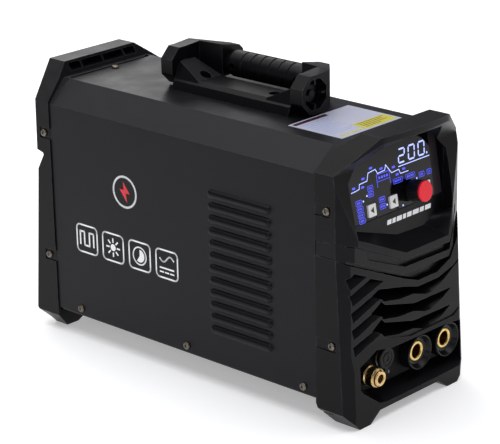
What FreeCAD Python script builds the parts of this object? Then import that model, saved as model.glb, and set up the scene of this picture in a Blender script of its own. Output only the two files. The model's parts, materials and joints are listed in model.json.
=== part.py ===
import FreeCAD, Part
import math
import os
import re
import Sketcher

# A portable inverter power source for TIG welding.
# The front faces -Y, the width runs along X, and Z is up. The origin is on the
# floor under the middle of the case. All lengths are in millimetres.

V = FreeCAD.Vector
Turn = FreeCAD.Rotation
doc = FreeCAD.newDocument("tig_welder")
sheet = doc.addObject("Spreadsheet::Sheet", "dims")

DIMENSIONS = {
    # folded sheet-metal cover
    "cover_half": 86.5,
    "cover_skin": 1.2,
    "cover_low": 25.9,
    "shoulder": 241.2,
    "cover_top": 260.8,
    "top_half": 57.1,
    "seam_front": -171.8,
    "seam_rear": 176.5,
    # moulded end frames
    "frame_half": 88.0,
    "frame_top": 273.5,
    "frame_shoulder": 243.4,
    "frame_top_half": 48.3,
    "frame_wall": 3.0,
    "rim_face": -206.0,
    "lip_face": -211.0,
    "brow_face": -220.0,
    "foot_out": 72.0,
    "foot_in": 57.0,
    # pressed louvres
    "louvre_count": 12,
    "louvre_low": 59.4,
    "louvre_pitch": 12.3,
    "louvre_front": -119.2,
    "louvre_back": -38.8,
    "louvre_radius": 5.0,
    "louvre_rise": 3.4,
    # control panel
    "panel_tilt": 9.5,
    "panel_foot_y": -193.0,
    "panel_foot_z": 186.0,
    "panel_thick": 2.0,
    "button_wide": 10.6,
    "button_tall": 11.5,
    "knob_x": 24.7,
    "knob_s": 15.4,
    # connector bay
    "plate_face": -192.0,
    "plate_thick": 2.0,
    "dinse_left": 23.5,
    "dinse_right": 65.0,
    "dinse_z": 44.3,
    "dinse_bore": 6.5,
    "gas_x": -41.0,
    "gas_z": 40.0,
    "remote_x": -20.0,
    "remote_z": 51.0,
    # folding handle
    "hub_z": 281.0,
    "grip_x": 40.0,
    "grip_z": 279.5,
    "grip_radius": 13.4,
    # rear wall
    "wall_front": 181.0,
    "wall_thick": 2.0,
    "fan_z": 178.0,
    "fan_radius": 44.0,
    "switch_x": -38.0,
    "switch_z": 88.0,
    "gland_x": 36.0,
    "gland_z": 88.0,
    "inlet_x": 36.0,
    "inlet_z": 50.0,
    "earth_x": -38.0,
    "earth_z": 46.0,
    # screws
    "screw_head": 4.0,
    "screw_core": 2.0,
}

for row, (alias, number) in enumerate(DIMENSIONS.items(), start=1):
    sheet.set("A%d" % row, alias)
    sheet.set("B%d" % row, str(number))
    sheet.setAlias("B%d" % row, alias)
doc.recompute()

SUB_PARTS = []
NUTS = []


def size(alias):
    """The sheet's number for one alias, for shapes made with Part's own functions."""
    return float(sheet.get(alias))


def linked(expression):
    """An expression with each alias pointed at the sheet."""
    def point(match):
        word = match.group(0)
        return "dims." + word if word in DIMENSIONS else word
    return re.sub(r"[a-z_]+", point, str(expression))


def bind(thing, name, expression):
    thing.setExpression(name, linked(expression))


def place(thing, x, y, z, turn=None):
    """Puts an object at a point given by three expressions."""
    thing.Placement = FreeCAD.Placement(V(), turn or Turn())
    for key, expression in zip("xyz", (x, y, z)):
        bind(thing, "Placement.Base." + key, expression)


def sketch(body, name, plane, points, offset):
    """A closed outline on one of the body's origin planes, every corner bound to the sheet."""
    drawing = body.newObject("Sketcher::SketchObject", name)
    base = [f for f in body.Origin.OriginFeatures if f.Role == plane + "_Plane"][0]
    drawing.AttachmentSupport = [(base, "")]
    drawing.MapMode = "FlatFace"
    bind(drawing, "AttachmentOffset.Base.z", offset)
    count = len(points)
    spot = [V(9 * math.cos(6.28 * i / count), 9 * math.sin(6.28 * i / count), 0) for i in range(count)]
    for i in range(count):
        drawing.addGeometry(Part.LineSegment(spot[i], spot[(i + 1) % count]), False)
    for i in range(count):
        drawing.addConstraint(Sketcher.Constraint("Coincident", i, 2, (i + 1) % count, 1))
    for i, corner in enumerate(points):
        for kind, expression, start in zip(("DistanceX", "DistanceY"), corner, spot[i]):
            index = drawing.addConstraint(Sketcher.Constraint(kind, -1, 1, i, 1, start))
            bind(drawing, "Constraints[%d]" % index, expression)
    return drawing


def from_plane(plane, value):
    """The offset along a plane's normal; the XZ plane's normal points to -Y."""
    return "-(%s)" % value if plane == "XZ" else str(value)


def pad(name, plane, points, low, high):
    """An outline pulled from one level to another along its plane's axis."""
    body = doc.addObject("PartDesign::Body", name)
    start = high if plane == "XZ" else low
    feature = body.newObject("PartDesign::Pad", name + "_pad")
    feature.Profile = sketch(body, name + "_outline", plane, points, from_plane(plane, start))
    bind(feature, "Length", "(%s) - (%s)" % (high, low))
    body.Tip = feature
    return body


def loft(name, plane, points_a, level_a, points_b, level_b):
    """A straight-sided loft between two outlines with the same number of corners."""
    body = doc.addObject("PartDesign::Body", name)
    first = sketch(body, name + "_first", plane, points_a, from_plane(plane, level_a))
    second = sketch(body, name + "_second", plane, points_b, from_plane(plane, level_b))
    feature = body.newObject("PartDesign::AdditiveLoft", name + "_loft")
    feature.Profile = first
    feature.Sections = [second]
    feature.Ruled = True
    body.Tip = feature
    return body


def turned(name, profile, axis, x, y, z):
    """A profile of (radius, height) corners turned about its own axis, which starts at a point."""
    body = doc.addObject("PartDesign::Body", name)
    drawing = sketch(body, name + "_outline", "XZ", profile, "0")
    feature = body.newObject("PartDesign::Revolution", name + "_turn")
    feature.Profile = drawing
    feature.ReferenceAxis = (drawing, ["V_Axis"])
    feature.Angle = 360
    body.Tip = feature
    place(body, x, y, z, AXIS_TURN[axis])
    return body


AXIS_TURN = {
    "+X": Turn(V(0, 1, 0), 90),
    "+Y": Turn(V(1, 0, 0), -90),
    "-Y": Turn(V(1, 0, 0), 90),
    "+Z": Turn(),
}


def rod(name, axis, x, y, z, radius, length):
    """A cylinder that starts at a point and runs along an axis."""
    thing = doc.addObject("Part::Cylinder", name)
    bind(thing, "Radius", radius)
    bind(thing, "Height", length)
    place(thing, x, y, z, AXIS_TURN[axis])
    return thing


def block(name, low, high):
    """A box between two corners."""
    thing = doc.addObject("Part::Box", name)
    for key, a, b in zip(("Length", "Width", "Height"), low, high):
        bind(thing, key, "(%s) - (%s)" % (b, a))
    place(thing, *low)
    return thing


def fuse(name, things):
    thing = doc.addObject("Part::MultiFuse", name)
    thing.Shapes = things
    return thing


def common(name, things):
    thing = doc.addObject("Part::MultiCommon", name)
    thing.Shapes = things
    return thing


def cut(name, base, tools):
    """Takes each tool away from a base in turn."""
    for i, tool in enumerate(tools):
        last = i == len(tools) - 1
        thing = doc.addObject("Part::Cut", name if last else "%s_%d" % (name, i))
        thing.Base = base
        thing.Tool = tool
        base = thing
    return base


def group(name, things):
    """Separate solids that share one node, such as a set of screws."""
    thing = doc.addObject("Part::Compound", name)
    thing.Links = things
    return thing


def feature(name, shape):
    """A shape made with Part's own functions."""
    thing = doc.addObject("Part::Feature", name)
    thing.Shape = shape
    return thing


def sub_part(label, thing):
    thing.Label = label
    SUB_PARTS.append(thing)
    return thing


def mirror_pairs(points):
    """A half outline given from the bottom right up, closed with its mirror image at the left."""
    left = [("-(%s)" % x, z) for x, z in reversed(points)]
    return list(points) + left


# ---------------------------------------------------------------- sheet metal

def base_tray():
    """The folded floor of the case, with a flange up each long side."""
    outer = block("tray_outer", ("-cover_half+cover_skin+0.1", "seam_front+3", "cover_low-1.4"),
                  ("cover_half-cover_skin-0.1", "seam_rear-4", "cover_low+18"))
    inner = block("tray_inner", ("-cover_half+2*cover_skin+0.1", "seam_front", "cover_low-0.2"),
                  ("cover_half-2*cover_skin-0.1", "seam_rear", "cover_low+30"))
    sub_part("base_tray", cut("tray_body", outer, [inner]))


def cover_outline(inset, low):
    """The cover's section: two sides, two sloped shoulders and a flat top."""
    run = "0.31*(%s)" % inset
    return mirror_pairs([
        ("cover_half-(%s)" % inset, low),
        ("cover_half-(%s)" % inset, "shoulder-%s" % run),
        ("top_half-%s" % run, "cover_top-(%s)" % inset),
    ])


def louvre_bars(side, radius, trim):
    """One round-ended bar per louvre, sunk in the side wall so that part of it stands out."""
    shapes = []
    depth = size("louvre_radius") - size("louvre_rise")
    x = side * (size("cover_half") - depth)
    front = size("louvre_front") + size("louvre_radius") + 0.2
    back = size("louvre_back") - size("louvre_radius") - 0.2
    for i in range(int(size("louvre_count"))):
        z = size("louvre_low") + i * size("louvre_pitch")
        bar = Part.makeCylinder(radius, back - front, V(x, front, z), V(0, 1, 0))
        bar = bar.fuse([Part.makeSphere(radius, V(x, end, z)) for end in (front, back)])
        if trim:
            mouth = Part.makeBox(30, 120, 10, V(x - 15, -140, z - 10 - 0.7 * radius))
            bar = bar.cut(mouth)
        shapes.append(bar)
    return Part.makeCompound(shapes)


def outer_cover():
    """The cover: one folded sheet with a column of pressed louvres in each side."""
    outer = pad("cover_outer", "XZ", cover_outline("0", "cover_low"), "seam_front+0.2", "seam_rear-0.2")
    inner = pad("cover_inner", "XZ", cover_outline("cover_skin", "cover_low-5"), "seam_front-5", "seam_rear+5")
    radius = size("louvre_radius")
    half = size("cover_half")
    band = size("louvre_count") * size("louvre_pitch") + 10
    low = size("louvre_low") - 8
    for word, side in (("left", -1), ("right", 1)):
        bars = louvre_bars(side, radius, True)
        hollows = louvre_bars(side, radius - 0.9, False)
        reach = Part.makeBox(10, 100, band, V(half - 0.6 if side > 0 else -half - 9.4, -130, low))
        hood = bars.cut(hollows).common(reach)
        feature("louvre_hood_" + word, hood)
        feature("louvre_hole_" + word, hollows.common(reach).fuse(hollows))
    shell = cut("cover_shell", outer, [inner])
    names = ("louvre_hole_left", "louvre_hole_right")
    pierced = cut("cover_pierced", shell, [doc.getObject(name) for name in names])
    hoods = [doc.getObject(name) for name in ("louvre_hood_left", "louvre_hood_right")]
    holes = [rod("cover_top_screw_hole", "+Z", "0", "171", "cover_top-4", "2.1", "8")]
    holes += [
        rod("cover_handle_hole_" + word, "+Z", "0", y, "cover_top-4", "2.2", "8")
        for word, y in (("front", "-46"), ("rear", "44"))
    ]
    whole = fuse("cover_whole", [pierced] + hoods)
    sub_part("outer_cover", cut("cover_body", whole, holes))


# ---------------------------------------------------------------- front frame

def frame_outline(inset):
    """The end frames' outline above the feet, drawn inwards by an inset."""
    return [
        ("frame_half-(%s)" % inset, "60"),
        ("frame_half-(%s)" % inset, "frame_shoulder-0.37*(%s)" % inset),
        ("frame_top_half-0.37*(%s)" % inset, "frame_top-(%s)" % inset),
    ]


LIP_EDGE = [("-frame_half", "180.4"), ("-69", "175"), ("0", "143.6"), ("65", "143.6"),
            ("74", "176"), ("frame_half", "180.4")]
RECESS_FRONT = [("-68", "181"), ("0", "150"), ("63.5", "150"), ("68.6", "181"), ("73", "231"),
                ("42", "263"), ("-42", "263"), ("-73", "231")]
RECESS_BACK = [("-66", "187"), ("2", "165"), ("40", "163.6"), ("70", "174"), ("69", "233"),
               ("44", "259"), ("-44", "259"), ("-69", "233")]


def plan_corners(name):
    """The plan of the front frame: sloped corners and a gently bowed brow."""
    half = size("frame_half")
    brow = size("brow_face")
    side = [V(half, -150, 0), V(half, -196, 0), V(48, -216.5, 0)]
    bow = Part.Arc(V(48, -216.5, 0), V(0, brow, 0), V(-48, -216.5, 0))
    edges = [Part.makeLine(side[0], side[1]), Part.makeLine(side[1], side[2]), bow.toShape()]
    far = [V(-p.x, p.y, 0) for p in reversed(side)]
    edges += [Part.makeLine(far[0], far[1]), Part.makeLine(far[1], far[2]), Part.makeLine(far[2], side[0])]
    face = Part.Face(Part.Wire(edges))
    return feature(name, face.extrude(V(0, 0, 300)))


def front_bezel():
    """The upper front moulding: brow, sloped shoulders, a deep control recess and a chevron lip."""
    top = [("frame_half", "frame_shoulder"), ("frame_top_half", "frame_top"),
           ("-frame_top_half", "frame_top"), ("-frame_half", "frame_shoulder")]
    front = pad("bezel_front", "XZ", LIP_EDGE + top, "-240", "-160")
    side = pad("bezel_side", "YZ", [
        ("seam_front", "120"), ("rim_face", "120"), ("rim_face", "181"), ("-194", "frame_shoulder"),
        ("-217", "frame_top-6"), ("brow_face", "frame_top-6"), ("brow_face", "frame_top"),
        ("-193.2", "frame_top"), ("-178.9", "cover_top+0.8"), ("seam_front", "cover_top+0.8")], "-100", "100")
    ledge = pad("bezel_ledge", "XZ", cover_outline("0", "225"), "-186", "seam_front")
    solid = fuse("bezel_solid", [common("bezel_moulding", [front, side, plan_corners("bezel_plan")]), ledge])
    recess = loft("bezel_recess", "XZ", RECESS_FRONT, "-206.5", RECESS_BACK, "-193")
    mouth = pad("bezel_mouth", "XZ", RECESS_FRONT, "-230", "-206.5")
    window = pad("bezel_window", "XZ", [
        ("-70", "panel_foot_z+2"), ("70", "panel_foot_z+2"), ("70", "240"), ("58", "261"),
        ("-58", "261"), ("-70", "240")], "-193.2", "-170")
    wall = "frame_wall"
    hollow_front = pad("bezel_hollow_front", "XZ", [
        ("-frame_half+%s" % wall, "184"), ("0", "168"), ("60", "168"), ("frame_half-%s" % wall, "184"),
        ("frame_half-%s" % wall, "frame_shoulder-1"), ("frame_top_half-1", "frame_top-%s" % wall),
        ("-frame_top_half+1", "frame_top-%s" % wall), ("-frame_half+%s" % wall, "frame_shoulder-1")],
        "-240", "-160")
    hollow_side = pad("bezel_hollow_side", "YZ", [
        ("-165", "150"), ("-191", "150"), ("-191", "panel_foot_z"), ("-178.6", "cover_top-4"),
        ("-165", "cover_top-8")], "-100", "100")
    hollow = common("bezel_hollow", [hollow_front, hollow_side])
    body = cut("bezel_cut", solid, [recess, mouth, window, hollow])
    sub_part("front_bezel", cut("bezel_body", body, screw_recesses("bezel", -1, "209.2", "-185.6")))


def screw_recesses(name, end, z, y):
    """A shallow square pocket with a screw hole in each side wall of an end frame."""
    tools = []
    for word, side in (("left", -1), ("right", 1)):
        outer = "%d*frame_half" % side
        low_x, high_x = (outer + "-1", outer + "+1.2") if side < 0 else (outer + "-1.2", outer + "+1")
        back = ("(%s)-5.5" % y, "seam_front+1") if end < 0 else ("seam_rear-1", "(%s)+5.5" % y)
        tools.append(block("%s_pocket_%s" % (name, word), (low_x, back[0], "(%s)-5.5" % z),
                           (high_x, back[1], "(%s)+5.5" % z)))
        start = "frame_half-9" if side > 0 else "-frame_half-1"
        tools.append(rod("%s_screw_hole_%s" % (name, word), "+X", start, y, z, "screw_core+0.2", "10"))
    return tools


def front_belt():
    """The trim strip between the two front mouldings, stepped down to a thin chevron."""
    top = [("frame_half", "180.1"), ("74", "175.6"), ("65", "143.2"), ("0", "143.2"),
           ("-69", "174.6"), ("-frame_half", "180.1")]
    bottom = [("-frame_half", "166.2"), ("-83", "162.6"), ("-2", "127.4"), ("19", "119.6"),
              ("46", "119.6"), ("66", "127.6"), ("79", "150"), ("frame_half", "166.2")]
    backing = pad("belt_backing", "XZ", bottom + top, "-200.5", "-174")
    strip = pad("belt_strip", "XZ", [
        ("-frame_half", "166.2"), ("-82", "164.6"), ("-2", "129.4"), ("66", "128.6"), ("79", "151"),
        ("frame_half", "166.2"), ("frame_half", "176"), ("75", "166"), ("66", "135.4"), ("0", "136.6"),
        ("-54", "158.4"), ("-60", "169.5"), ("-69", "174"), ("-frame_half", "179.6")], "-204.6", "-200")
    plan = plan_corners("belt_plan")
    solid = common("belt_solid", [fuse("belt_both", [backing, strip]), plan])
    hollow = block("belt_hollow", ("-frame_half+frame_wall", "-196", "100"), ("frame_half-frame_wall", "-170", "190"))
    sub_part("front_belt", cut("belt_body", solid, [hollow]))


FACET_LEFT = [
    [("-81.5", "147"), ("-73", "151"), ("-55", "143"), ("-78.6", "136.6")],
    [("-79.6", "131.4"), ("-50.6", "140"), ("-32", "132.4"), ("-76.2", "120.6")],
    [("-78.6", "114.6"), ("-49.6", "122.4"), ("-37", "117"), ("-75.8", "104.2")],
    [("-78", "98"), ("-48.4", "106"), ("-36.6", "100.2"), ("-75.4", "88")],
    [("-77", "81.4"), ("-46.6", "88.6"), ("-35", "83.2"), ("-74.2", "71.6")],
]
WINDOW = [("-49.6", "122.6"), ("-39", "126.4"), ("-4", "118.6"), ("17", "112.8"), ("47", "112.8"),
          ("70", "118.6"), ("96", "134"), ("96", "82"), ("70", "68"), ("5.7", "67.4"), ("-6", "70"),
          ("-31", "76.6"), ("-37.6", "83.6"), ("-50", "88.6"), ("-34", "97.8"), ("-51", "106"), ("-34", "114.6")]
BLADE_FRONT = [("-40", "117.4"), ("-33", "112.6"), ("-10", "108.2"), ("10", "107.6"), ("28", "102"),
               ("37", "101.4"), ("54", "107.4"), ("90", "127.4"), ("90", "109"), ("70", "97.4"),
               ("11", "98"), ("-31", "109")]
BLADE_BACK = [("-44", "120"), ("-30", "121"), ("-8", "116.4"), ("14", "110"), ("34", "112.4"),
              ("44", "116.6"), ("60", "117.6"), ("90", "134.5"), ("90", "116"), ("70", "106"),
              ("12", "103.4"), ("-30", "112.6")]


def facet_floor(points):
    """The deep end of a facet: its upper edge, with the lower edge drawn up close to it."""
    high_left, high_right, low_right, low_left = [(float(x), float(z)) for x, z in points]
    near = [(a[0] + 0.12 * (b[0] - a[0]), a[1] + 0.12 * (b[1] - a[1]))
            for a, b in ((high_right, low_right), (high_left, low_left))]
    return [("%.3f" % x, "%.3f" % z) for x, z in [high_left, high_right] + near]


def shifted(points, fall):
    return [(x, "%s-%s" % (z, fall)) for x, z in points]


def lower_front_frame():
    """The lower front moulding: facets and blades of the air grille, connector bay and two feet."""
    outline = [
        ("-frame_half", "165.6"), ("-frame_half", "17"), ("-foot_out", "0"), ("-foot_in", "0"),
        ("-43", "10"), ("43", "10"), ("foot_in", "0"), ("foot_out", "0"), ("frame_half", "17"),
        ("frame_half", "165.6"), ("79.4", "149.6"), ("66", "126.6"), ("46", "118.6"), ("18", "118.6"),
        ("-3", "126.2"), ("-83", "161.8")]
    front = pad("lower_front", "XZ", outline, "-240", "-160")
    side = pad("lower_side", "YZ", [
        ("seam_front", "170"), ("-205", "170"), ("-207", "75"), ("lip_face", "40"), ("lip_face", "0"),
        ("-182", "0"), ("seam_front", "21.5")], "-100", "100")
    corner_low = [("100", "-150"), ("100", "-200"), ("frame_half", "-205"), ("77", "lip_face-0.2"),
                  ("0", "lip_face-1"), ("-77", "lip_face-0.2"), ("-frame_half", "-205"), ("-100", "-200"),
                  ("-100", "-150")]
    corner_top = [("100", "-150"), ("100", "-190"), ("frame_half", "-196"), ("77", "-205.2"),
                  ("0", "-206"), ("-77", "-205.2"), ("-frame_half", "-196"), ("-100", "-190"), ("-100", "-150")]
    corners = loft("lower_corners", "XY", corner_low, "-2", corner_top, "172")
    solid = common("lower_solid", [front, side, corners])
    tools = [pad("grille_window", "XZ", WINDOW, "-230", "-186.5")]
    for i, points in enumerate(FACET_LEFT):
        tools.append(pad("facet_mouth_%d" % i, "XZ", points, "-230", "-205.8"))
        tools.append(loft("facet_slope_%d" % i, "XZ", points, "-205.8", facet_floor(points), "-197.5"))
    bay_front = [("-70", "60"), ("-44", "69.4"), ("-24", "65"), ("62", "63.6"), ("84", "60.4"),
                 ("84", "14.6"), ("-34", "14.6"), ("-44", "17"), ("-66", "33"), ("-70", "38")]
    bay_back = [("-66", "59"), ("-44", "68"), ("-24", "64"), ("62", "63.2"), ("83.6", "60"),
                ("83", "24"), ("-34", "24"), ("-44", "25"), ("-62", "36"), ("-66", "40")]
    tools.append(loft("bay", "XZ", bay_front, "lip_face-1", bay_back, "plate_face"))
    hollow_top = pad("lower_hollow_top", "XZ", [
        ("-frame_half+frame_wall", "160"), ("-frame_half+frame_wall", "12"), ("frame_half-frame_wall", "12"),
        ("frame_half-frame_wall", "160"), ("66", "121"), ("0", "121")], "plate_face+plate_thick", "-160")
    seat = block("plate_seat", ("-frame_half+frame_wall+0.4", "plate_face", "14"),
                 ("frame_half-frame_wall-0.4", "-160", "76"))
    shell = cut("lower_shell", solid, tools + [hollow_top])
    blades = []
    for i in range(3):
        fall = "%.2f" % (17.25 * i)
        name = "blade_%d" % i
        blades.append(loft(name, "XZ", shifted(BLADE_FRONT, fall), "-206.4", shifted(BLADE_BACK, fall), "-187"))
    trimmed = common("blades_trimmed", [fuse("blades", blades), blade_corners()])
    joined = fuse("lower_joined", [shell, trimmed])
    tools = [seat] + screw_recesses("lower", -1, "81.8", "-190.7")
    sub_part("lower_front_frame", cut("lower_body", joined, tools))


def blade_corners():
    """The plan loft again, to trim the blades' ends flush with the moulding's corners."""
    low = [("frame_half", "-150"), ("frame_half", "-205"), ("77", "lip_face-0.2"), ("-77", "lip_face-0.2"),
           ("-frame_half", "-205"), ("-frame_half", "-150")]
    top = [("frame_half", "-150"), ("frame_half", "-196"), ("77", "-205.2"), ("-77", "-205.2"),
           ("-frame_half", "-196"), ("-frame_half", "-150")]
    return loft("blade_corners", "XY", low, "-2", top, "172")


def connector_plate():
    """The plate behind the bay, with a hole for each connector."""
    plate = block("plate_blank", ("-frame_half+frame_wall+0.6", "plate_face", "14.2"),
                  ("frame_half-frame_wall-0.6", "plate_face+plate_thick", "75.8"))
    holes = [
        rod("plate_dinse_left", "+Y", "dinse_left", "plate_face-1", "dinse_z", "12.2", "6"),
        rod("plate_dinse_right", "+Y", "dinse_right", "plate_face-1", "dinse_z", "12.2", "6"),
        rod("plate_gas", "+Y", "gas_x", "plate_face-1", "gas_z", "6.6", "6"),
        rod("plate_remote", "+Y", "remote_x", "plate_face-1", "remote_z", "7.6", "6"),
    ]
    sub_part("connector_plate", cut("plate_body", plate, holes))


# ---------------------------------------------------------------- connectors

def dinse_socket(word, x):
    """An output socket: a dished insulating collar, a brass insert and its clamping nut."""
    collar = turned("dinse_dish_" + word, [
        ("10.1", "-13"), ("12", "-13"), ("12", "0"), ("17", "0"), ("17.5", "1"), ("17.5", "12"), ("16.4", "13"),
        ("15.6", "12.6"), ("12.6", "8"), ("10.1", "7.4")], "-Y", x, "plate_face", "dinse_z")
    sub_part("dinse_collar_" + word, collar)
    insert = turned("dinse_barrel_" + word, [
        ("dinse_bore", "-20"), ("10", "-20"), ("10", "7.6"), ("9.2", "8.2"), ("7.3", "8.2"), ("dinse_bore", "7.4")],
        "-Y", x, "plate_face", "dinse_z")
    rear = rod("dinse_end_" + word, "-Y", x, "plate_face+28", "dinse_z", "10", "8")
    stud = rod("dinse_stud_" + word, "-Y", x, "plate_face+42", "dinse_z", "5", "15")
    sub_part("dinse_insert_" + word, fuse("dinse_metal_" + word, [insert, rear, stud]))
    nut = feature("dinse_nut_" + word, hexagon(28, 5, 12.02))
    place(nut, x, "plate_face+plate_thick+5.1", "dinse_z", AXIS_TURN["-Y"])
    NUTS.append(nut)


def hexagon(flats, height, bore):
    """A hexagonal nut standing on z = 0 with a round hole."""
    reach = flats / math.sqrt(3)
    ring = [V(reach * math.cos(math.radians(60 * i)), reach * math.sin(math.radians(60 * i)), 0) for i in range(7)]
    blank = Part.Face(Part.makePolygon(ring)).extrude(V(0, 0, height))
    return blank.cut(Part.makeCylinder(bore, height + 2, V(0, 0, -1)))


def gas_fitting():
    """The quick coupling for the torch's gas hose, with its back nut."""
    sub_part("gas_fitting", turned("gas_fitting_body", [
        ("2.2", "-16"), ("5", "-16"), ("6.5", "-14"), ("6.5", "0"), ("10", "0"), ("10", "5"), ("8.6", "6"),
        ("8.6", "7"), ("9.6", "8"), ("9.6", "14"), ("8.8", "14.8"), ("7.6", "15.4"), ("7.6", "17.2"),
        ("7", "18"), ("4.4", "18"), ("4", "17"), ("4", "6"), ("2.2", "6")], "-Y", "gas_x", "plate_face", "gas_z"))
    nut = feature("gas_nut", hexagon(19, 4, 6.52))
    place(nut, "gas_x", "plate_face+plate_thick+4.1", "gas_z", AXIS_TURN["-Y"])
    NUTS.append(nut)


def remote_socket():
    """The round socket for the torch's control plug, and its tethered rubber cap."""
    shell = turned("remote_shell", [
        ("6.4", "-9"), ("7.5", "-9"), ("7.5", "0"), ("9.4", "0"), ("9.4", "2"), ("8.6", "2.6"), ("8.6", "4.6"),
        ("6.4", "4.6")], "-Y", "remote_x", "plate_face", "remote_z")
    core = rod("remote_core", "-Y", "remote_x", "plate_face+9", "remote_z", "6.4", "9.6")
    pins = [
        rod("remote_pin_%d" % i, "-Y", "remote_x+%.3f" % (3.6 * math.cos(1.2566 * i)), "plate_face+0.4",
            "remote_z+%.3f" % (3.6 * math.sin(1.2566 * i)), "0.6", "3.6") for i in range(5)]
    sub_part("remote_socket", fuse("remote_body", [shell, core] + pins))
    cap = turned("dust_cap_disc", [
        ("0", "5"), ("9", "5"), ("9", "4.6"), ("10.4", "5"), ("10.6", "7.2"), ("9.8", "8.2"), ("7.6", "8.2"),
        ("7", "7.6"), ("5.6", "7.6"), ("5", "8.3"), ("3.2", "8.3"), ("2.6", "7.6"), ("0", "7.6")],
        "-Y", "remote_x", "plate_face", "remote_z")
    tail = block("dust_cap_tail", ("remote_x-2.2", "plate_face-7.4", "remote_z-13.6"),
                 ("remote_x+2.2", "plate_face-5.4", "remote_z-9.6"))
    knuckle = rod("dust_cap_knuckle", "+X", "remote_x-2.2", "plate_face-5.9", "remote_z-14.4", "1.5", "4.4")
    bore = rod("dust_cap_bore", "+X", "remote_x-4", "plate_face-5.9", "remote_z-14.4", "0.85", "8")
    sub_part("dust_cap", cut("dust_cap_body", fuse("dust_cap_solid", [cap, tail, knuckle]), [bore]))
    ears = [
        block("tether_ear_" + word, ("remote_x+%s" % a, "plate_face-7.4", "remote_z-15.9"),
              ("remote_x+%s" % b, "plate_face", "remote_z-12.9"))
        for word, a, b in (("left", "(-4)", "(-2.5)"), ("right", "2.5", "4"))]
    pin = rod("tether_pin", "+X", "remote_x-4", "plate_face-5.9", "remote_z-14.4", "0.8", "8")
    sub_part("dust_cap_bracket", fuse("tether_body", ears + [pin]))


# ---------------------------------------------------------------- control panel

def on_panel(thing):
    """Turns an object built upright at the origin onto the tilted control panel."""
    turn = Turn(V(1, 0, 0), -size("panel_tilt"))
    place(thing, "0", "panel_foot_y", "panel_foot_z", turn)
    return thing


def panel_group(name, shape):
    """A shape in the panel's own frame: X across, Z up the panel, -Y out of its face."""
    return on_panel(feature(name, shape))


def box_at(x, s, wide, tall, front, back):
    """A box on the panel, centred on x and s, between two depths in front of the panel's face."""
    return Part.makeBox(wide, front - back, tall, V(x - wide / 2, -front, s - tall / 2))


BUTTONS = {"button_mode": (-33.2, 11.4), "button_trigger": (-2.4, 11.9), "button_store": (46.0, 13.4)}


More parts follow.
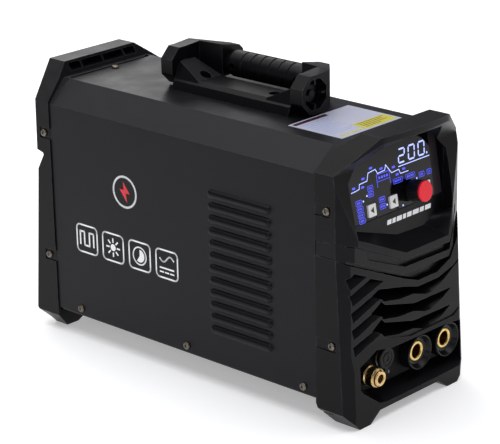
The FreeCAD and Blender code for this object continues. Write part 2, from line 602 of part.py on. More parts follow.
def control_panel():
    """The tilted panel: its metal plate, the dark display window, keys, encoder and circuit board."""
    knob_x, knob_s = size("knob_x"), size("knob_s")
    thick = size("panel_thick")
    wide, tall = size("button_wide"), size("button_tall")
    outline = [(-69.4, 2.4), (69.4, 2.4), (69.4, 54.3), (57.9, 74.6), (-57.9, 74.6), (-69.4, 54.3), (-69.4, 2.4)]
    plate = Part.Face(Part.makePolygon([V(x, 0.2, z) for x, z in outline])).extrude(V(0, thick, 0))
    glass = [(-61, 3.2), (57, 3.2), (57, 70.6), (-57.6, 70.6), (-61, 64.6), (-61, 3.2)]
    window = Part.Face(Part.makePolygon([V(x, -1.05, z) for x, z in glass])).extrude(V(0, 1.2, 0))
    for x, s in BUTTONS.values():
        plate = plate.cut(box_at(x, s, wide + 0.7, tall + 0.7, 5, -5))
        high = s + tall / 2 + 0.9
        slot = Part.makeBox(wide + 1.8, 10, high + 2, V(x - wide / 2 - 0.9, -5, -2))
        window = window.cut(slot)
    shaft_hole = Part.makeCylinder(4, 30, V(knob_x, -15, knob_s), V(0, 1, 0))
    sub_part("control_plate", panel_group("control_plate_body", plate.cut(shaft_hole)))
    sub_part("display_window", panel_group("display_window_body", window.cut(shaft_hole)))
    board = Part.makeBox(132, 1.6, 62, V(-66, 8.6, 6))
    board = board.cut(Part.makeCylinder(3.4, 10, V(knob_x, 5, knob_s), V(0, 1, 0)))
    sub_part("control_board", panel_group("control_board_body", board))
    modules = [Part.makeBox(60, 5.4, 22, V(-4, 3.0, 38))]
    modules += [Part.makeBox(12, 2.2, 12, V(x, 10.3, s)) for x, s in ((-50, 40), (-22, 44))]
    modules += [box_at(x, s, 6, 6, -6.0, -8.5) for x, s in BUTTONS.values()]
    sub_part("panel_modules", panel_group("panel_modules_set", Part.makeCompound(modules)))
    for name, (x, s) in BUTTONS.items():
        cap = box_at(x, s, wide, tall, 2.4, -4.4)
        cap = cap.makeFillet(0.8, [e for e in cap.Edges if abs(e.BoundBox.YLength - 6.8) < 0.1])
        sub_part(name, panel_group(name + "_body", cap))
    casing = Part.makeBox(12, 6, 12, V(knob_x - 6, 2.5, knob_s - 6))
    sleeve = Part.makeCylinder(3.5, 3.5, V(knob_x, -1, knob_s), V(0, 1, 0))
    barrel = Part.makeCylinder(3.05, 18, V(knob_x, -6, knob_s), V(0, 1, 0))
    pocket = Part.makeBox(7.4, 4.2, 7.4, V(knob_x - 3.7, 3.4, knob_s - 3.7))
    sub_part("encoder_body", panel_group("encoder_casing", casing.fuse(sleeve).cut(barrel).cut(pocket)))
    collar = Part.makeCylinder(3.6, 2.7, V(knob_x, 3.65, knob_s), V(0, 1, 0))
    collar = collar.cut(Part.makeCylinder(2.05, 5, V(knob_x, 3, knob_s), V(0, 1, 0)))
    sub_part("encoder_plunger", panel_group("encoder_collar", collar))
    shaft = Part.makeCylinder(3.0, 15.6, V(knob_x, -12, knob_s), V(0, 1, 0))
    shaft = shaft.fuse(Part.makeCylinder(2.0, 4.0, V(knob_x, 3.4, knob_s), V(0, 1, 0)))
    sub_part("encoder_shaft", panel_group("encoder_spindle", shaft))
    sub_part("knob", panel_group("knob_shape", knob_shape(knob_x, knob_s)))
    cap = Part.makeCylinder(9.8, 1.8, V(knob_x, -18.5, knob_s), V(0, 1, 0))
    cap = cap.fuse(Part.makeCylinder(7.0, 3, V(knob_x, -16.7, knob_s), V(0, 1, 0)))
    rim = [e for e in cap.Edges if abs(e.BoundBox.YMin + 18.5) < 0.01 and e.BoundBox.YLength < 0.01]
    cap = cap.makeFillet(0.7, rim)
    sub_part("knob_cap", panel_group("knob_cap_shape", cap))


def knob_shape(x, s):
    """A ribbed knob with a plain ring at its foot, a shaft hole at the back and a seat for its cap."""
    foot = Part.makeCylinder(9.7, 2.6, V(x, -2.2, s), V(0, -1, 0))
    grip = Part.makeCylinder(10.4, 12.0, V(x, -4.7, s), V(0, -1, 0))
    body = foot.fuse(grip)
    ribs = []
    for i in range(20):
        angle = 2 * math.pi * i / 20
        centre = V(x + 10.5 * math.cos(angle), -4.0, s + 10.5 * math.sin(angle))
        ribs.append(Part.makeCylinder(0.6, 12.0, centre, V(0, -1, 0)))
    body = body.cut(Part.makeCompound(ribs))
    seat = Part.makeCylinder(7.05, 3.2, V(x, -16.75, s), V(0, 1, 0))
    bore = Part.makeCylinder(3.0, 12, V(x, -12, s), V(0, 1, 0))
    return body.cut(seat).cut(bore)


# ---------------------------------------------------------------- handle

def octagon(flat, x, z):
    """Eight corners about a centre, with flats of the given apothem."""
    reach = 0.4142 * flat
    pairs = [(flat, -reach), (flat, reach), (reach, flat), (-reach, flat), (-flat, reach), (-flat, -reach),
             (-reach, -flat), (reach, -flat)]
    return [("%s+(%.3f)" % (x, a), "%s+(%.3f)" % (z, b)) for a, b in pairs]


HUBS = {"front": ("-98", "-83"), "rear": ("71", "86")}


def handle_base():
    """The fixed rail between the hubs, with a ramp, a sunk screw and a pivot boss at each end."""
    beam = pad("rail_beam", "XZ", [
        ("-21", "cover_top"), ("-18.5", "269.6"), ("-14", "273"), ("14", "273"), ("18.5", "269.6"),
        ("21", "cover_top")], "-81.6", "69.6")
    ramps = []
    for word, tall, foot, end in (("front", "-80", "-50", "-81.6"), ("rear", "68", "38", "69.6")):
        side = pad("rail_ramp_side_" + word, "YZ", [
            (end, "cover_top"), (end, "284"), (tall, "287"), (foot, "272.8"), (foot, "cover_top")], "-22", "22")
        front = pad("rail_ramp_front_" + word, "XZ", [
            ("-21", "cover_top"), ("-9", "289"), ("9", "289"), ("21", "cover_top")], "-100", "100")
        ramps.append(common("rail_ramp_" + word, [side, front]))
    bosses = [
        rod("rail_boss_front", "-Y", "0", "-80", "hub_z", "6", "9.3"),
        rod("rail_boss_rear", "+Y", "0", "68", "hub_z", "6", "9.3"),
    ]
    for boss in bosses:
        ramps.append(boss)
    tools = []
    for word, y in (("front", "-46"), ("rear", "44")):
        tools.append(rod("rail_counterbore_" + word, "+Z", "0", y, "cover_top+5", "5.6", "30"))
        tools.append(rod("rail_hole_" + word, "+Z", "0", y, "cover_top-2", "2.2", "12"))
    sub_part("handle_base", cut("rail_body", fuse("rail_solid", [beam] + ramps), tools))


def pan_screw(name, axis, x, y, z, length):
    """A pan-head screw; the point given is under its head, and the axis points out of the head."""
    head = [("0", "-(%s)" % length), ("screw_core", "-(%s)" % length), ("screw_core", "0"), ("screw_head", "0"),
            ("screw_head", "1.2"), ("2.6", "2.5"), ("1.5", "2.7"), ("1.5", "1.3"), ("0", "1.3")]
    return turned(name, head, axis, x, y, z)


def handle_bail():
    """The folding handle: two octagonal hubs, two sloped arms and the core of the grip."""
    pieces = []
    tools = []
    for word, (low, high) in HUBS.items():
        eight = pad("hub_blank_" + word, "XZ", octagon(18.6, "0", "hub_z"), low, high)
        corner = block("hub_corner_" + word, ("-30", low, "hub_z-30"), ("0", high, "hub_z"))
        round_off = cut("hub_round_" + word, corner, [rod("hub_turn_" + word, "+Y", "0", low, "hub_z", "19.8", "15")])
        pieces.append(cut("hub_" + word, eight, [round_off]))
        near, far = ("-83", "-98") if word == "front" else ("71", "86")
        inner, outer = ("-58", "-66.5") if word == "front" else ("46", "54.5")
        plan = pad("arm_plan_" + word, "XY", [
            ("0", near), ("0", far), ("20", far), ("grip_x+16", outer), ("grip_x+16", inner),
            ("grip_x-14", inner), ("20", near)], "hub_z-30", "hub_z+30")
        depth = pad("arm_depth_" + word, "XZ", [
            ("0", "hub_z-18.6"), ("15", "hub_z-18.6"), ("24", "hub_z-14"), ("grip_x+12", "hub_z-13"),
            ("grip_x+16", "hub_z-9"), ("grip_x+16", "hub_z+9"), ("grip_x+11", "hub_z+14"),
            ("21", "hub_z+20"), ("0", "hub_z+18.6")], "-100", "90")
        pieces.append(common("arm_" + word, [plan, depth]))
        shallow = ("-99", "-89") if word == "front" else ("77", "87")
        tools.append(pad("hub_hollow_" + word, "XZ", octagon(14.6, "0", "hub_z"), *shallow))
        tools.append(rod("hub_bore_" + word, "+Y", "0", low, "hub_z", "6.05", "15"))
    core = rod("grip_core", "+Y", "grip_x", "-58", "grip_z", "10", "104")
    for word, y in (("rear", "34"), ("front", "-49")):
        tools.append(rod("core_screw_hole_" + word, "+X", "grip_x-20", y, "grip_z", "3.75", "16"))
    frame = cut("bail_hollowed", fuse("bail_solid", pieces + [core]), tools)
    ribs = []
    for word, (y_low, y_high) in (("front", ("-97", "-88.9")), ("rear", ("76.9", "85"))):
        ribs.append(block("hub_rib_up_" + word, ("-1", y_low, "hub_z+9"), ("1", y_high, "hub_z+16")))
        ribs.append(block("hub_rib_down_" + word, ("-1", y_low, "hub_z-16"), ("1", y_high, "hub_z-9")))
        ribs.append(block("hub_rib_out_" + word, ("9", y_low, "hub_z-1"), ("16", y_high, "hub_z+1")))
        ribs.append(block("hub_rib_in_" + word, ("-16", y_low, "hub_z-1"), ("-9", y_high, "hub_z+1")))
    sub_part("handle_bail", fuse("bail_body", [frame] + ribs))
    screws = [
        turned("hub_washer_front", [("0", "-9"), ("2", "-9"), ("2", "0"), ("8", "0"), ("8", "1.2"), ("3.6", "1.2"),
                                    ("3.6", "3.4"), ("0", "3.4")], "-Y", "0", "-89.35", "hub_z"),
        turned("hub_washer_rear", [("0", "-9"), ("2", "-9"), ("2", "0"), ("8", "0"), ("8", "1.2"), ("3.6", "1.2"),
                                   ("3.6", "3.4"), ("0", "3.4")], "+Y", "0", "77.35", "hub_z"),
    ]
    rail = SUB_PARTS[[thing.Label for thing in SUB_PARTS].index("handle_base")]
    holes = [rod("boss_hole_front", "-Y", "0", "-80.3", "hub_z", "2", "12"),
             rod("boss_hole_rear", "+Y", "0", "68.3", "hub_z", "2", "12")]
    rail.Label = "handle_base_blank"
    SUB_PARTS.remove(rail)
    sub_part("handle_base", cut("rail_drilled", rail, holes))
    for word, y in (("front", "-46"), ("rear", "44")):
        screws.append(pan_screw("handle_screw_" + word, "+Z", "0", y, "cover_top+5", "11"))
    sub_part("handle_screws", group("handle_screws_set", screws))
    profile = [("10.02", "0"), ("11.2", "0"), ("grip_radius-0.5", "4"), ("grip_radius", "12")]
    for i in range(6):
        y = 18 + 12.2 * i
        profile += [("grip_radius", "%.2f" % y), ("grip_radius-0.9", "%.2f" % (y + 0.7)),
                    ("grip_radius-0.9", "%.2f" % (y + 1.7)), ("grip_radius", "%.2f" % (y + 2.4))]
    profile += [("grip_radius", "96"), ("11.2", "102"), ("10.02", "102")]
    sleeve = turned("grip_sleeve", profile, "+Y", "grip_x", "-57", "grip_z")
    flipped = cut("grip_drilled", sleeve, [
        rod("grip_screw_hole_rear", "+X", "grip_x-20", "34", "grip_z", "3.75", "12"),
        rod("grip_screw_hole_front", "+X", "grip_x-20", "-49", "grip_z", "3.75", "12")])
    sub_part("handle_grip", flipped)
    screws = [pan_small("grip_screw_" + word, y) for word, y in (("rear", "34"), ("front", "-49"))]
    sub_part("grip_screws", group("grip_screws_set", screws))


def pan_small(name, y):
    """A small screw sunk in the grip, its head towards -X."""
    thing = rod(name, "+X", "grip_x-6", y, "grip_z", "3.3", "1.9")
    return thing


# ---------------------------------------------------------------- rear frame

def rear_frame():
    """The rear moulding: an open frame with feet, a rearward top rim and a ribbed top pocket."""
    outline = mirror_pairs([
        ("foot_in", "0"), ("foot_out", "0"), ("frame_half", "17"), ("frame_half", "frame_shoulder"),
        ("frame_top_half", "frame_top")])
    outline = outline[:-1] + [("-foot_in", "0"), ("-43", "10"), ("43", "10")]
    front = pad("rear_front", "XZ", outline, "150", "240")
    side = pad("rear_side", "YZ", [
        ("seam_rear", "15.8"), ("seam_rear", "243"), ("184.5", "cover_top"), ("193.3", "frame_top"),
        ("215.5", "frame_top"), ("195.3", "frame_shoulder"), ("196.2", "191"), ("188", "188.8"), ("187", "186.8"),
        ("196", "171"), ("208.2", "19"), ("199", "8"), ("199", "0"), ("182", "0")], "-100", "100")
    ledge = pad("rear_ledge", "XZ", cover_outline("0", "225"), "seam_rear", "190")
    solid = fuse("rear_solid", [common("rear_moulding", [front, side]), ledge])
    opening = pad("rear_opening", "XZ", mirror_pairs([
        ("70", "24"), ("74", "30"), ("74", "232"), ("42", "256")]), "170", "230")
    hollow = pad("rear_hollow", "XZ", mirror_pairs([
        ("frame_half-frame_wall", "22"), ("frame_half-frame_wall", "frame_shoulder-1.2"),
        ("frame_top_half+5", "cover_top+1")]), "170", "wall_front+wall_thick")
    pockets = []
    for i, (a, b) in enumerate((("-45", "-30.2"), ("-28", "-1.1"), ("1.1", "28"), ("30.2", "45"))):
        pockets.append(pad("rim_pocket_%d" % i, "XZ", [
            (a, "264.4"), (b, "264.4"), (b, "frame_top-2.4"), (a, "frame_top-2.4")], "180", "203"))
    body = cut("rear_cut", solid, [opening, hollow] + pockets)
    tools = screw_recesses("rear_upper", 1, "210", "185.3") + screw_recesses("rear_lower", 1, "81.1", "186.4")
    sub_part("rear_frame", cut("rear_body", body, tools))


def rear_panel():
    """The flat rear wall, pierced for the fan, switch, mains gland, gas inlet and earth stud."""
    wall = pad("wall_blank", "XZ", mirror_pairs([
        ("frame_half-frame_wall-0.4", "23"), ("frame_half-frame_wall-0.4", "frame_shoulder-1.8"),
        ("frame_top_half+4.4", "cover_top-0.4")]), "wall_front", "wall_front+wall_thick")
    holes = [
        rod("wall_fan", "+Y", "0", "wall_front-2", "fan_z", "fan_radius", "8"),
        block("wall_switch", ("switch_x-13.6", "wall_front-2", "switch_z-11"),
              ("switch_x+13.6", "wall_front+8", "switch_z+11")),
        rod("wall_gland", "+Y", "gland_x", "wall_front-2", "gland_z", "10", "8"),
        rod("wall_inlet", "+Y", "inlet_x", "wall_front-2", "inlet_z", "5.2", "8"),
        rod("wall_earth", "+Y", "earth_x", "wall_front-2", "earth_z", "3.1", "8"),
    ]
    for i in range(4):
        x = ("-37.5", "37.5", "37.5", "-37.5")[i]
        z = ("-37.5", "-37.5", "37.5", "37.5")[i]
        holes.append(rod("wall_fan_screw_%d" % i, "+Y", x, "wall_front-2", "fan_z+(%s)" % z, "2.2", "8"))
    sub_part("rear_panel", cut("wall_body", wall, holes))


def fan():
    """The cooling fan behind the rear wall, its wire guard and its four screws."""
    frame = block("fan_blank", ("-46", "wall_front-25", "fan_z-46"), ("46", "wall_front", "fan_z+46"))
    duct = rod("fan_duct", "+Y", "0", "wall_front-30", "fan_z", "fan_radius-0.5", "40")
    waist = cut("fan_ring", frame, [duct])
    holes = [rod("fan_hole_%d" % i, "+Y", "%s*37.5" % a, "wall_front-30", "fan_z+%s*37.5" % b, "2.2", "40")
             for i, (a, b) in enumerate((("(-1)", "(-1)"), ("1", "(-1)"), ("1", "1"), ("(-1)", "1")))]
    struts = [block("fan_strut_0", ("-43.8", "wall_front-24.6", "fan_z-2"), ("43.8", "wall_front-22", "fan_z+2")),
              block("fan_strut_1", ("-2", "wall_front-24.6", "fan_z-43.8"), ("2", "wall_front-22", "fan_z+43.8"))]
    motor = rod("fan_motor", "+Y", "0", "wall_front-24.6", "fan_z", "15", "3")
    pin = rod("fan_pin", "+Y", "0", "wall_front-22", "fan_z", "2", "16")
    sub_part("fan_frame", fuse("fan_frame_body", [cut("fan_frame_cut", waist, holes), motor, pin] + struts))
    middle = size("fan_z")
    back = size("wall_front")
    hub = Part.makeCylinder(16, 16, V(0, back - 20.6, middle), V(0, 1, 0))
    blades = []
    for i in range(7):
        blade = Part.makeBox(27.0, 1.4, 17, V(14.8, -0.7, -8.5))
        blade.rotate(V(0, 0, 0), V(1, 0, 0), 52)
        blade.rotate(V(0, 0, 0), V(0, 1, 0), 360 * i / 7)
        blade.translate(V(0, back - 12.6, middle))
        blades.append(blade)
    wheel = hub.fuse(blades).cut(Part.makeCylinder(2.05, 20, V(0, back - 21, middle), V(0, 1, 0)))
    rim = Part.makeCylinder(42.6, 30, V(0, back - 30, middle), V(0, 1, 0))
    sub_part("fan_rotor", feature("fan_wheel", wheel.common(rim)))
    face = back + size("wall_thick")
    rings = [Part.makeTorus(r, 0.9, V(0, face + 1.1, middle), V(0, 1, 0)) for r in (10, 17, 24, 31, 38, 45)]
    bars = []
    for k in range(4):
        spoke = Part.makeCylinder(0.9, 53, V(0, face + 2.3, middle), V(1, 0, 0))
        spoke.rotate(V(0, face, middle), V(0, 1, 0), 45 + 90 * k)
        bars.append(spoke)
    eyes = []
    for a in (-37.5, 37.5):
        for b in (-37.5, 37.5):
            eye = Part.makeCylinder(4.2, 1.4, V(a, face + 0.05, middle + b), V(0, 1, 0))
            eyes.append(eye.cut(Part.makeCylinder(2.2, 6, V(a, face - 1, middle + b), V(0, 1, 0))))
    guard = rings[0].fuse(rings[1:] + bars + eyes)
    holes = [Part.makeCylinder(2.2, 8, V(a, face - 1, middle + b), V(0, 1, 0)) for a in (-37.5, 37.5)
             for b in (-37.5, 37.5)]
    sub_part("fan_guard", feature("fan_guard_wires", guard.cut(Part.makeCompound(holes))))
    screws = [pan_screw("fan_screw_%d" % i, "+Y", "%s*37.5" % a, "wall_front+wall_thick+3.3", "fan_z+%s*37.5" % b,
                        "24") for i, (a, b) in enumerate((("(-1)", "(-1)"), ("1", "(-1)"), ("1", "1"), ("(-1)", "1")))]
    sub_part("fan_screws", group("fan_screws_set", screws))


def rear_fittings():
    """The mains switch, cable gland, gas inlet and earth stud on the rear wall."""
    face = "wall_front+wall_thick"
    flange = block("switch_flange", ("switch_x-16", face, "switch_z-13.4"), ("switch_x+16", face + "+2", "switch_z+13.4"))
    neck = block("switch_neck", ("switch_x-13.4", "wall_front-16", "switch_z-10.8"),
                 ("switch_x+13.4", face + "+1", "switch_z+10.8"))
    well = block("switch_well", ("switch_x-11.6", "wall_front-6", "switch_z-9.2"),
                 ("switch_x+11.6", face + "+4", "switch_z+9.2"))
    ears = rod("switch_pivot", "+X", "switch_x-12", face + "-1", "switch_z", "1.2", "24")
    sub_part("power_switch", fuse("switch_body", [cut("switch_hollow", fuse("switch_solid", [flange, neck]), [well]), ears]))
    rocker = pad("rocker_profile", "YZ", [("-5.4", "-3"), ("2.6", "-8"), ("4.6", "-8"), ("2.6", "0"), ("4.6", "8"),
                                          ("2.6", "8"), ("-5.4", "3")], "-11.2", "11.2")
    bore = rod("rocker_bore", "+X", "-15", "0", "0", "1.25", "30")
    shape = cut("rocker_shape", rocker, [bore])
    place(shape, "switch_x", face + "-1", "switch_z", Turn(V(1, 0, 0), 9))
    sub_part("switch_rocker", shape)
    gland = turned("gland_profile", [
        ("5.2", "-4.5"), ("9.8", "-4.5"), ("9.8", "2"), ("13", "2"), ("13", "8"), ("11.6", "8.4"), ("11.6", "15"),
        ("10", "18"), ("7.4", "19"), ("5.2", "19")], "+Y", "gland_x", "wall_front", "gland_z")
    sub_part("mains_gland", gland)
    nut = feature("gland_nut", hexagon(24, 4, 9.82))
    place(nut, "gland_x", "wall_front-4.1", "gland_z", AXIS_TURN["+Y"])
    NUTS.append(nut)
    inlet = turned("inlet_profile", [
        ("2.4", "-12"), ("4", "-12"), ("5", "-10"), ("5", "2"), ("8", "2"), ("8", "7"), ("4.4", "7"), ("4.4", "9"),
        ("5.2", "9.2"), ("4.4", "13"), ("5.2", "13.2"), ("4.4", "17"), ("5.2", "17.2"),
        ("4.4", "21"), ("5.2", "21.2"), ("4.4", "25"), ("5.2", "25.2"), ("4.4", "30"), ("5.2", "30.2"), ("4", "39"),
        ("2.4", "39")],
        "+Y", "inlet_x", "wall_front", "inlet_z")
    sub_part("gas_inlet", inlet)
    stud = turned("earth_profile", [
        ("0", "-8"), ("3", "-8"), ("3", "2"), ("7", "2"), ("7", "3.4"), ("3", "3.4"), ("3", "14"), ("2.4", "15"), ("0", "15")],
        "+Y", "earth_x", "wall_front", "earth_z")
    nut = feature("earth_nut", hexagon(10, 5, 3.02))
    place(nut, "earth_x", "wall_front+3.5", "earth_z", AXIS_TURN["+Y"])
    sub_part("earth_stud", stud)
    NUTS.append(nut)
    sub_part("fitting_nuts", group("fitting_nuts_set", NUTS))


# ---------------------------------------------------------------- screws and label

def case_screws():
    """The visible screws that hold the end frames and the cover."""
    sides = []
    for word, y, z in (("front_high", "-185.6", "209.2"), ("front_low", "-190.7", "81.8"),
                       ("rear_high", "185.3", "210"), ("rear_low", "186.4", "81.1")):
        sides.append(side_screw("side_%s_left" % word, -1, y, z, "frame_half-1.2"))
        sides.append(side_screw("side_%s_right" % word, 1, y, z, "frame_half-1.2"))
    sub_part("frame_screws", group("frame_screws_set", sides))
    low = []
    for i, y in enumerate(("142.9", "-5.9", "-155.6")):
        low.append(side_screw("skirt_%d_left" % i, -1, y, "32.6", "cover_half"))
        low.append(side_screw("skirt_%d_right" % i, 1, y, "32.6", "cover_half"))
    low.append(pan_screw("top_screw", "+Z", "0", "171", "cover_top", "1.1"))
    sub_part("cover_screws", group("cover_screws_set", low))


def side_screw(name, side, y, z, x):
    """A screw in a side wall: a short head outside with its core left out where walls are thin."""
    head = [("0", "0.02"), ("screw_head", "0.02"), ("screw_head", "1.2"), ("2.8", "2.3"), ("1.6", "2.6"), ("1.6", "1.2"),
            ("0", "1.2")]
    body = turned(name, head, "+X", "0", "0", "0")
    turn = Turn(V(0, 1, 0), 90 if side > 0 else -90)
    place(body, "%d*(%s)" % (side, x), y, z, turn)
    return body


def top_label():
    """The thin plate on the cover's top."""
    plate = block("label_blank", ("-41", "-164.6", "cover_top"), ("44", "-99.6", "cover_top+0.5"))
    sub_part("top_label", plate)


# ---------------------------------------------------------------- inside the case

def internals():
    """The power electronics, gas valve and hoses, which are seen only through the grille."""
    floor = size("cover_low") - 0.2
    legs = [Part.makeCylinder(3, 14, V(x, y, floor), V(0, 0, 1)) for x in (-70, 70) for y in (-120, 0, 130)]
    board = Part.makeBox(156, 270, 1.8, V(-78, -130, floor + 14))
    sub_part("power_board", feature("power_board_body", board))
    deck = floor + 15.8
    sinks = []
    for x in (-62, 22):
        fins = Part.makeBox(40, 150, 4, V(x, -90, deck + 20))
        for i in range(9):
            fins = fins.fuse(Part.makeBox(1.6, 150, 40, V(x + 4.8 * i, -90, deck + 23)))
        sinks.append(fins)
    sub_part("heatsinks", feature("heatsinks_set", Part.makeCompound(sinks)))
    modules = [Part.makeBox(30, 34, 18, V(x + 5, y, deck + 1)) for x in (-62, 22) for y in (-84, -44, -4)]
    sub_part("power_modules", feature("power_modules_set", Part.makeCompound(modules)))
    cans = [Part.makeCylinder(16, 45, V(x, y, deck + 0.5), V(0, 0, 1)) for x in (-40, 0, 40) for y in (90, 124)]
    sub_part("capacitors", feature("capacitors_set", Part.makeCompound(cans)))
    core = Part.makeBox(50, 50, 60, V(-74, -10, 140)).cut(Part.makeBox(54, 22, 32, V(-76, 4, 154)))
    shelf = Part.makeBox(160, 150, 1.5, V(-80, -110, 118))
    shelf = shelf.cut(Part.makeBox(30, 20, 4, V(-15, -100, 117)))
    posts = [Part.makeCylinder(3, 118 - deck - 0.4, V(x, y, deck + 0.2), V(0, 0, 1)) for x in (-73, 73)
             for y in (-98, 30)]
    sub_part("upper_shelf", feature("upper_shelf_body", shelf))
    sub_part("board_posts", feature("board_posts_set", Part.makeCompound(legs + posts)))
    core.translate(V(30, -40, -16))
    winding = Part.makeBox(46, 21, 31, V(-71, 4.5, 154.5))
    winding = winding.makeFillet(4, winding.Edges)
    winding.translate(V(30, -40, -16))
    sub_part("transformer_winding", feature("transformer_winding_body", winding))
    choke = Part.makeTorus(20, 9.5, V(30, -60, 150), V(0, 1, 0))
    sub_part("hf_coil", feature("hf_coil_body", choke))
    drum = [Part.makeTorus(20, 3.2, V(-30, -150 + 7 * i, 112), V(0, 1, 0)) for i in range(5)]
    coil = Part.makeCylinder(22.8, 30, V(-30, -151, 112), V(0, 1, 0)).cut(
        Part.makeCylinder(17.4, 32, V(-30, -152, 112), V(0, 1, 0)))
    drum = coil.fuse(drum)
    sub_part("output_choke", feature("output_choke_body", drum))
    slab = Part.makeCylinder(16.6, 34, V(-30, -153, 112), V(0, 1, 0))
    sub_part("magnetic_cores", feature("magnetic_cores_set", Part.makeCompound([core, slab])))
    valve = Part.makeBox(22, 30, 22, V(58, 138, floor + 22))
    valve = valve.fuse(Part.makeCylinder(9, 24, V(69, 153, floor + 44), V(0, 0, 1)))
    sub_part("gas_valve", feature("gas_valve_body", valve))
    bars = [Part.makeBox(12, 40, 2.5, V(x, -150, 80)) for x in (17.5, 59)]
    sub_part("bus_bars", feature("bus_bars_set", Part.makeCompound(bars)))


def hose():
    """The gas hose inside the case, from the valve to the front fitting: straight runs and arcs."""
    points = [V(-41, -175.8, 40), V(-41, -160, 40), V(-72, -136, 64), V(-80.5, -100, 84), V(-80.5, 120, 84),
              V(-60, 150, 70), V(-10, 156, 60), V(57.8, 156, 56)]
    edges = []
    last = points[0]
    for before, here, after in zip(points, points[1:], points[2:]):
        into = (here - before).normalize()
        out = (after - here).normalize()
        turn = into.getAngle(out)
        reach = 0.45 * min((here - before).Length, (after - here).Length)
        reach = min(reach, 24 * math.tan(turn / 2) + 0.01)
        a = here - into * reach
        b = here + out * reach
        middle = (out - into).normalize()
        radius = reach / math.tan(turn / 2)
        centre = here + middle * (radius / math.cos(turn / 2))
        apex = centre - middle * radius
        edges.append(Part.LineSegment(last, a).toShape())
        edges.append(Part.Arc(a, apex, b).toShape())
        last = b
    edges.append(Part.LineSegment(last, points[-1]).toShape())
    path = Part.Wire(edges)
    ring = Part.Wire(Part.makeCircle(2.6, points[0], points[1] - points[0]))
    tube = path.makePipeShell([ring], True, False, 2)
    sub_part("gas_hose", feature("gas_hose_body", tube))


base_tray()
outer_cover()
front_bezel()
front_belt()
lower_front_frame()
connector_plate()
dinse_socket("left", "dinse_left")
dinse_socket("right", "dinse_right")
gas_fitting()
remote_socket()
control_panel()
handle_base()
handle_bail()
rear_frame()
rear_panel()
fan()
rear_fittings()
case_screws()
top_label()
internals()
hose()
doc.recompute()

faults = [thing.Name for thing in doc.Objects if "Invalid" in thing.State or "Error" in thing.State]
if faults:
    raise RuntimeError("failed objects: " + ", ".join(faults))
for thing in SUB_PARTS:
    shape = thing.Shape
    if shape.isNull() or not shape.isValid() or not shape.Solids:
        raise RuntimeError("bad shape: " + thing.Label)
os.makedirs("parts", exist_ok=True)
for old in os.listdir("parts"):
    os.remove(os.path.join("parts", old))
for thing in SUB_PARTS:
    thing.Shape.exportStep("parts/%s.step" % thing.Label)
print(len(SUB_PARTS), "sub-parts")
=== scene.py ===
import json
import math

import bmesh
import bpy
from mathutils import Matrix, Vector


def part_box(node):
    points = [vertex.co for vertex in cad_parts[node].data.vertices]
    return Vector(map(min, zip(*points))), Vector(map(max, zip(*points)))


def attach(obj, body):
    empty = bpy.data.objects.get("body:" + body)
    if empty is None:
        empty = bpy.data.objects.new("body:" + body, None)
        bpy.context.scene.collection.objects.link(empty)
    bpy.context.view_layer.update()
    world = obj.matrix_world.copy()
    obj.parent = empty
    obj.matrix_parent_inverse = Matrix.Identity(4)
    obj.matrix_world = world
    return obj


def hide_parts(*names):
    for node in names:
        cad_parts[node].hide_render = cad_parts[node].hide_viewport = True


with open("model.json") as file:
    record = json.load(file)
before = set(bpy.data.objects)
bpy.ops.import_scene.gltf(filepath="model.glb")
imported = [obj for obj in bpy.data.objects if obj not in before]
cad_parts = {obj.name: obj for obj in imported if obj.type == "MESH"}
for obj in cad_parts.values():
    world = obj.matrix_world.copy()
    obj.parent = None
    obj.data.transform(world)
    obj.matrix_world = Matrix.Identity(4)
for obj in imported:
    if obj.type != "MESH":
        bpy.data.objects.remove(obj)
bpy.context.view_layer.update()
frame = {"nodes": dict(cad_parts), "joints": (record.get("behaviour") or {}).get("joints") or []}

NODES = frame["nodes"]
JOINTS = {joint["name"]: joint for joint in frame["joints"]}
MM = 0.001
WELD_DISTANCE = 0.000004

# ---------------------------------------------------------------- materials


